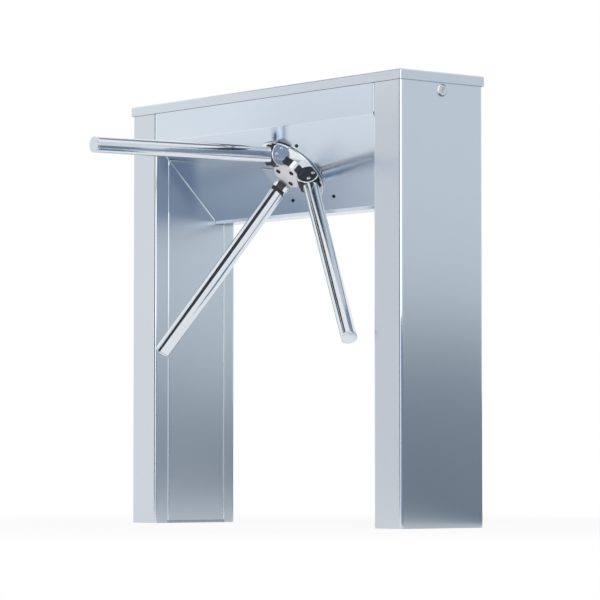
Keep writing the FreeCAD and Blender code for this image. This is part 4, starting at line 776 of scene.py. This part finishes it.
def world():
    """White to the camera, brightest on the passage's right in reflections, and softer as light."""
    sky = bpy.data.worlds.new("studio")
    bpy.context.scene.world = sky
    sky.use_nodes = True
    tree = sky.node_tree
    tree.nodes.clear()
    path = add(tree, "ShaderNodeLightPath")
    way = add(tree, "ShaderNodeTexCoord").outputs["Generated"]
    facing = add(tree, "ShaderNodeVectorMath", {0: way, 1: WINDOW_WAY}, operation="DOT_PRODUCT")
    window = add(tree, "ShaderNodeMapRange", {
        "Value": facing.outputs["Value"], "From Min": WINDOW_FROM, "From Max": WINDOW_FULL,
        "To Min": SKY_MIRRORED, "To Max": WINDOW_MIRRORED})
    light = add(tree, "ShaderNodeMix", {
        "Factor": path.outputs["Is Glossy Ray"], "A": SKY_LIGHT, "B": window.outputs["Result"]},
        data_type="FLOAT")
    seen = add(tree, "ShaderNodeMath", {
        0: path.outputs["Is Camera Ray"], 1: path.outputs["Is Transmission Ray"]}, operation="MAXIMUM")
    strength = add(tree, "ShaderNodeMix", {
        "Factor": seen.outputs["Value"], "A": light.outputs["Result"], "B": 1.0}, data_type="FLOAT")
    white = add(tree, "ShaderNodeBackground", {
        "Color": colour("#FFFFFF"), "Strength": strength.outputs["Result"]})
    add(tree, "ShaderNodeOutputWorld", {"Surface": white.outputs["Background"]})


def camera():
    """The photograph's viewpoint."""
    data = bpy.data.cameras.new("camera")
    data.lens = LENS
    data.sensor_width = SENSOR
    data.clip_end = CAMERA_FAR
    obj = bpy.data.objects.new("camera", data)
    azimuth = math.radians(CAMERA_AZIMUTH)
    elevation = math.radians(CAMERA_ELEVATION)
    level = math.cos(elevation)
    back = Vector((math.sin(azimuth) * level, -math.cos(azimuth) * level, math.sin(elevation)))
    obj.location = CAMERA_AT
    obj.rotation_mode = "QUATERNION"
    obj.rotation_quaternion = (-back).to_track_quat("-Z", "Y")
    bpy.context.scene.collection.objects.link(obj)
    bpy.context.scene.camera = obj


floor()
world()
# Faces that look right mirror dim cloths far behind, the dim floor before them and pale cloth above
DIM, DIM_INNER = "#76838F", "#677482"
card("back_card", stand(SIDE_WAY, 2.0, -0.9, 0.26), -SIDE_WAY, 1.8, 0.52, DIM)
card("inner_back_card", stand(SIDE_WAY, 2.0, 0.7, 0.17), -SIDE_WAY, 1.4, 0.34, DIM_INNER)
card("pale_card", stand(SIDE_WAY, 2.3, -0.2, 1.4), -SIDE_WAY, 4.6, 2.8, "#E0E7EB")
card("right_floor_card", stand(SIDE_WAY, 1.27, -0.85, FLOOR_SHEET_LIFT), UP, 1.45, 1.5, DIM, SIDE_TURN)
card("inner_floor_card", stand(SIDE_WAY, 1.3, 0.7, FLOOR_SHEET_LIFT), UP, 1.4, 1.4, DIM_INNER, SIDE_TURN)
# The slope, the disc and the left leg's inner face mirror dim cloths about the passage, painted shade on
# its floor and in a corner, and a painted reflection over the right leg's inner face
SHADED_FLOOR = "#6B84A9"
# Painted shadow: the cabinet's shade on the passage floor under the beam, seen only in reflections
card("passage_floor_card", (0.205, 0.01, FLOOR_SHEET_LIFT), UP, 0.25, 0.3, SHADED_FLOOR)
card("right_foot_card", (0.39, 0.1, FLOOR_SHEET_LIFT), UP, 0.12, 0.14, SHADED_FLOOR)
# Painted reflection: a dim sheet just before the right leg's inner face, so that the slope and the disc
# mirror that face darker
card("right_inner_card", (0.4165, 0.0, 0.63), LEFT, 0.24, 0.44, "#919BAB")
card("right_front_card", (0.9, -0.5, 0.25), LEFT, 0.8, 0.5, "#97A6BC")
# Painted shade: the shade in the corner under the slope's left end, as the left leg's inner face mirrors it
card("left_corner_card", (-0.37, -0.04, 0.84), LEFT, 0.16, 0.12, "#8C9AAF")
# The fascia and the right leg's front mirror a pale cloth beyond the passage on the left
card("left_front_card", stand(FRONT_WAY, 2.2, 0.4, 0.64), -FRONT_WAY, 0.7, 1.28, "#EEEFF1")
# Polished arms and knuckles mirror dark cloths beyond the passage and high up
card("passage_card", (-0.3, -2.0, 0.75), (0, 1, 0), 1.5, 1.5, "#3B4148")
card("high_left_card", (-1.06, -1.27, 2.175), (0.66, 0.48, -0.56), 1.47, 0.6, "#33393F", 126.0)
card("high_right_card", (1.1, -1.28, 2.0), (-0.5, 0.62, -0.6), 1.3, 1.2, "#3A424A")
card("overhead_card", (-0.1, 0.45, 2.05), (0, -0.58, -0.8), 0.75, 0.5, "#8A939C")
lamp("key_lamp", (-2.2, -3.2, 2.6), 60)
lamp("fill_lamp", (3.0, -1.5, 2.4), 30)
camera()

scene = bpy.context.scene
scene.view_settings.view_transform = "Standard"
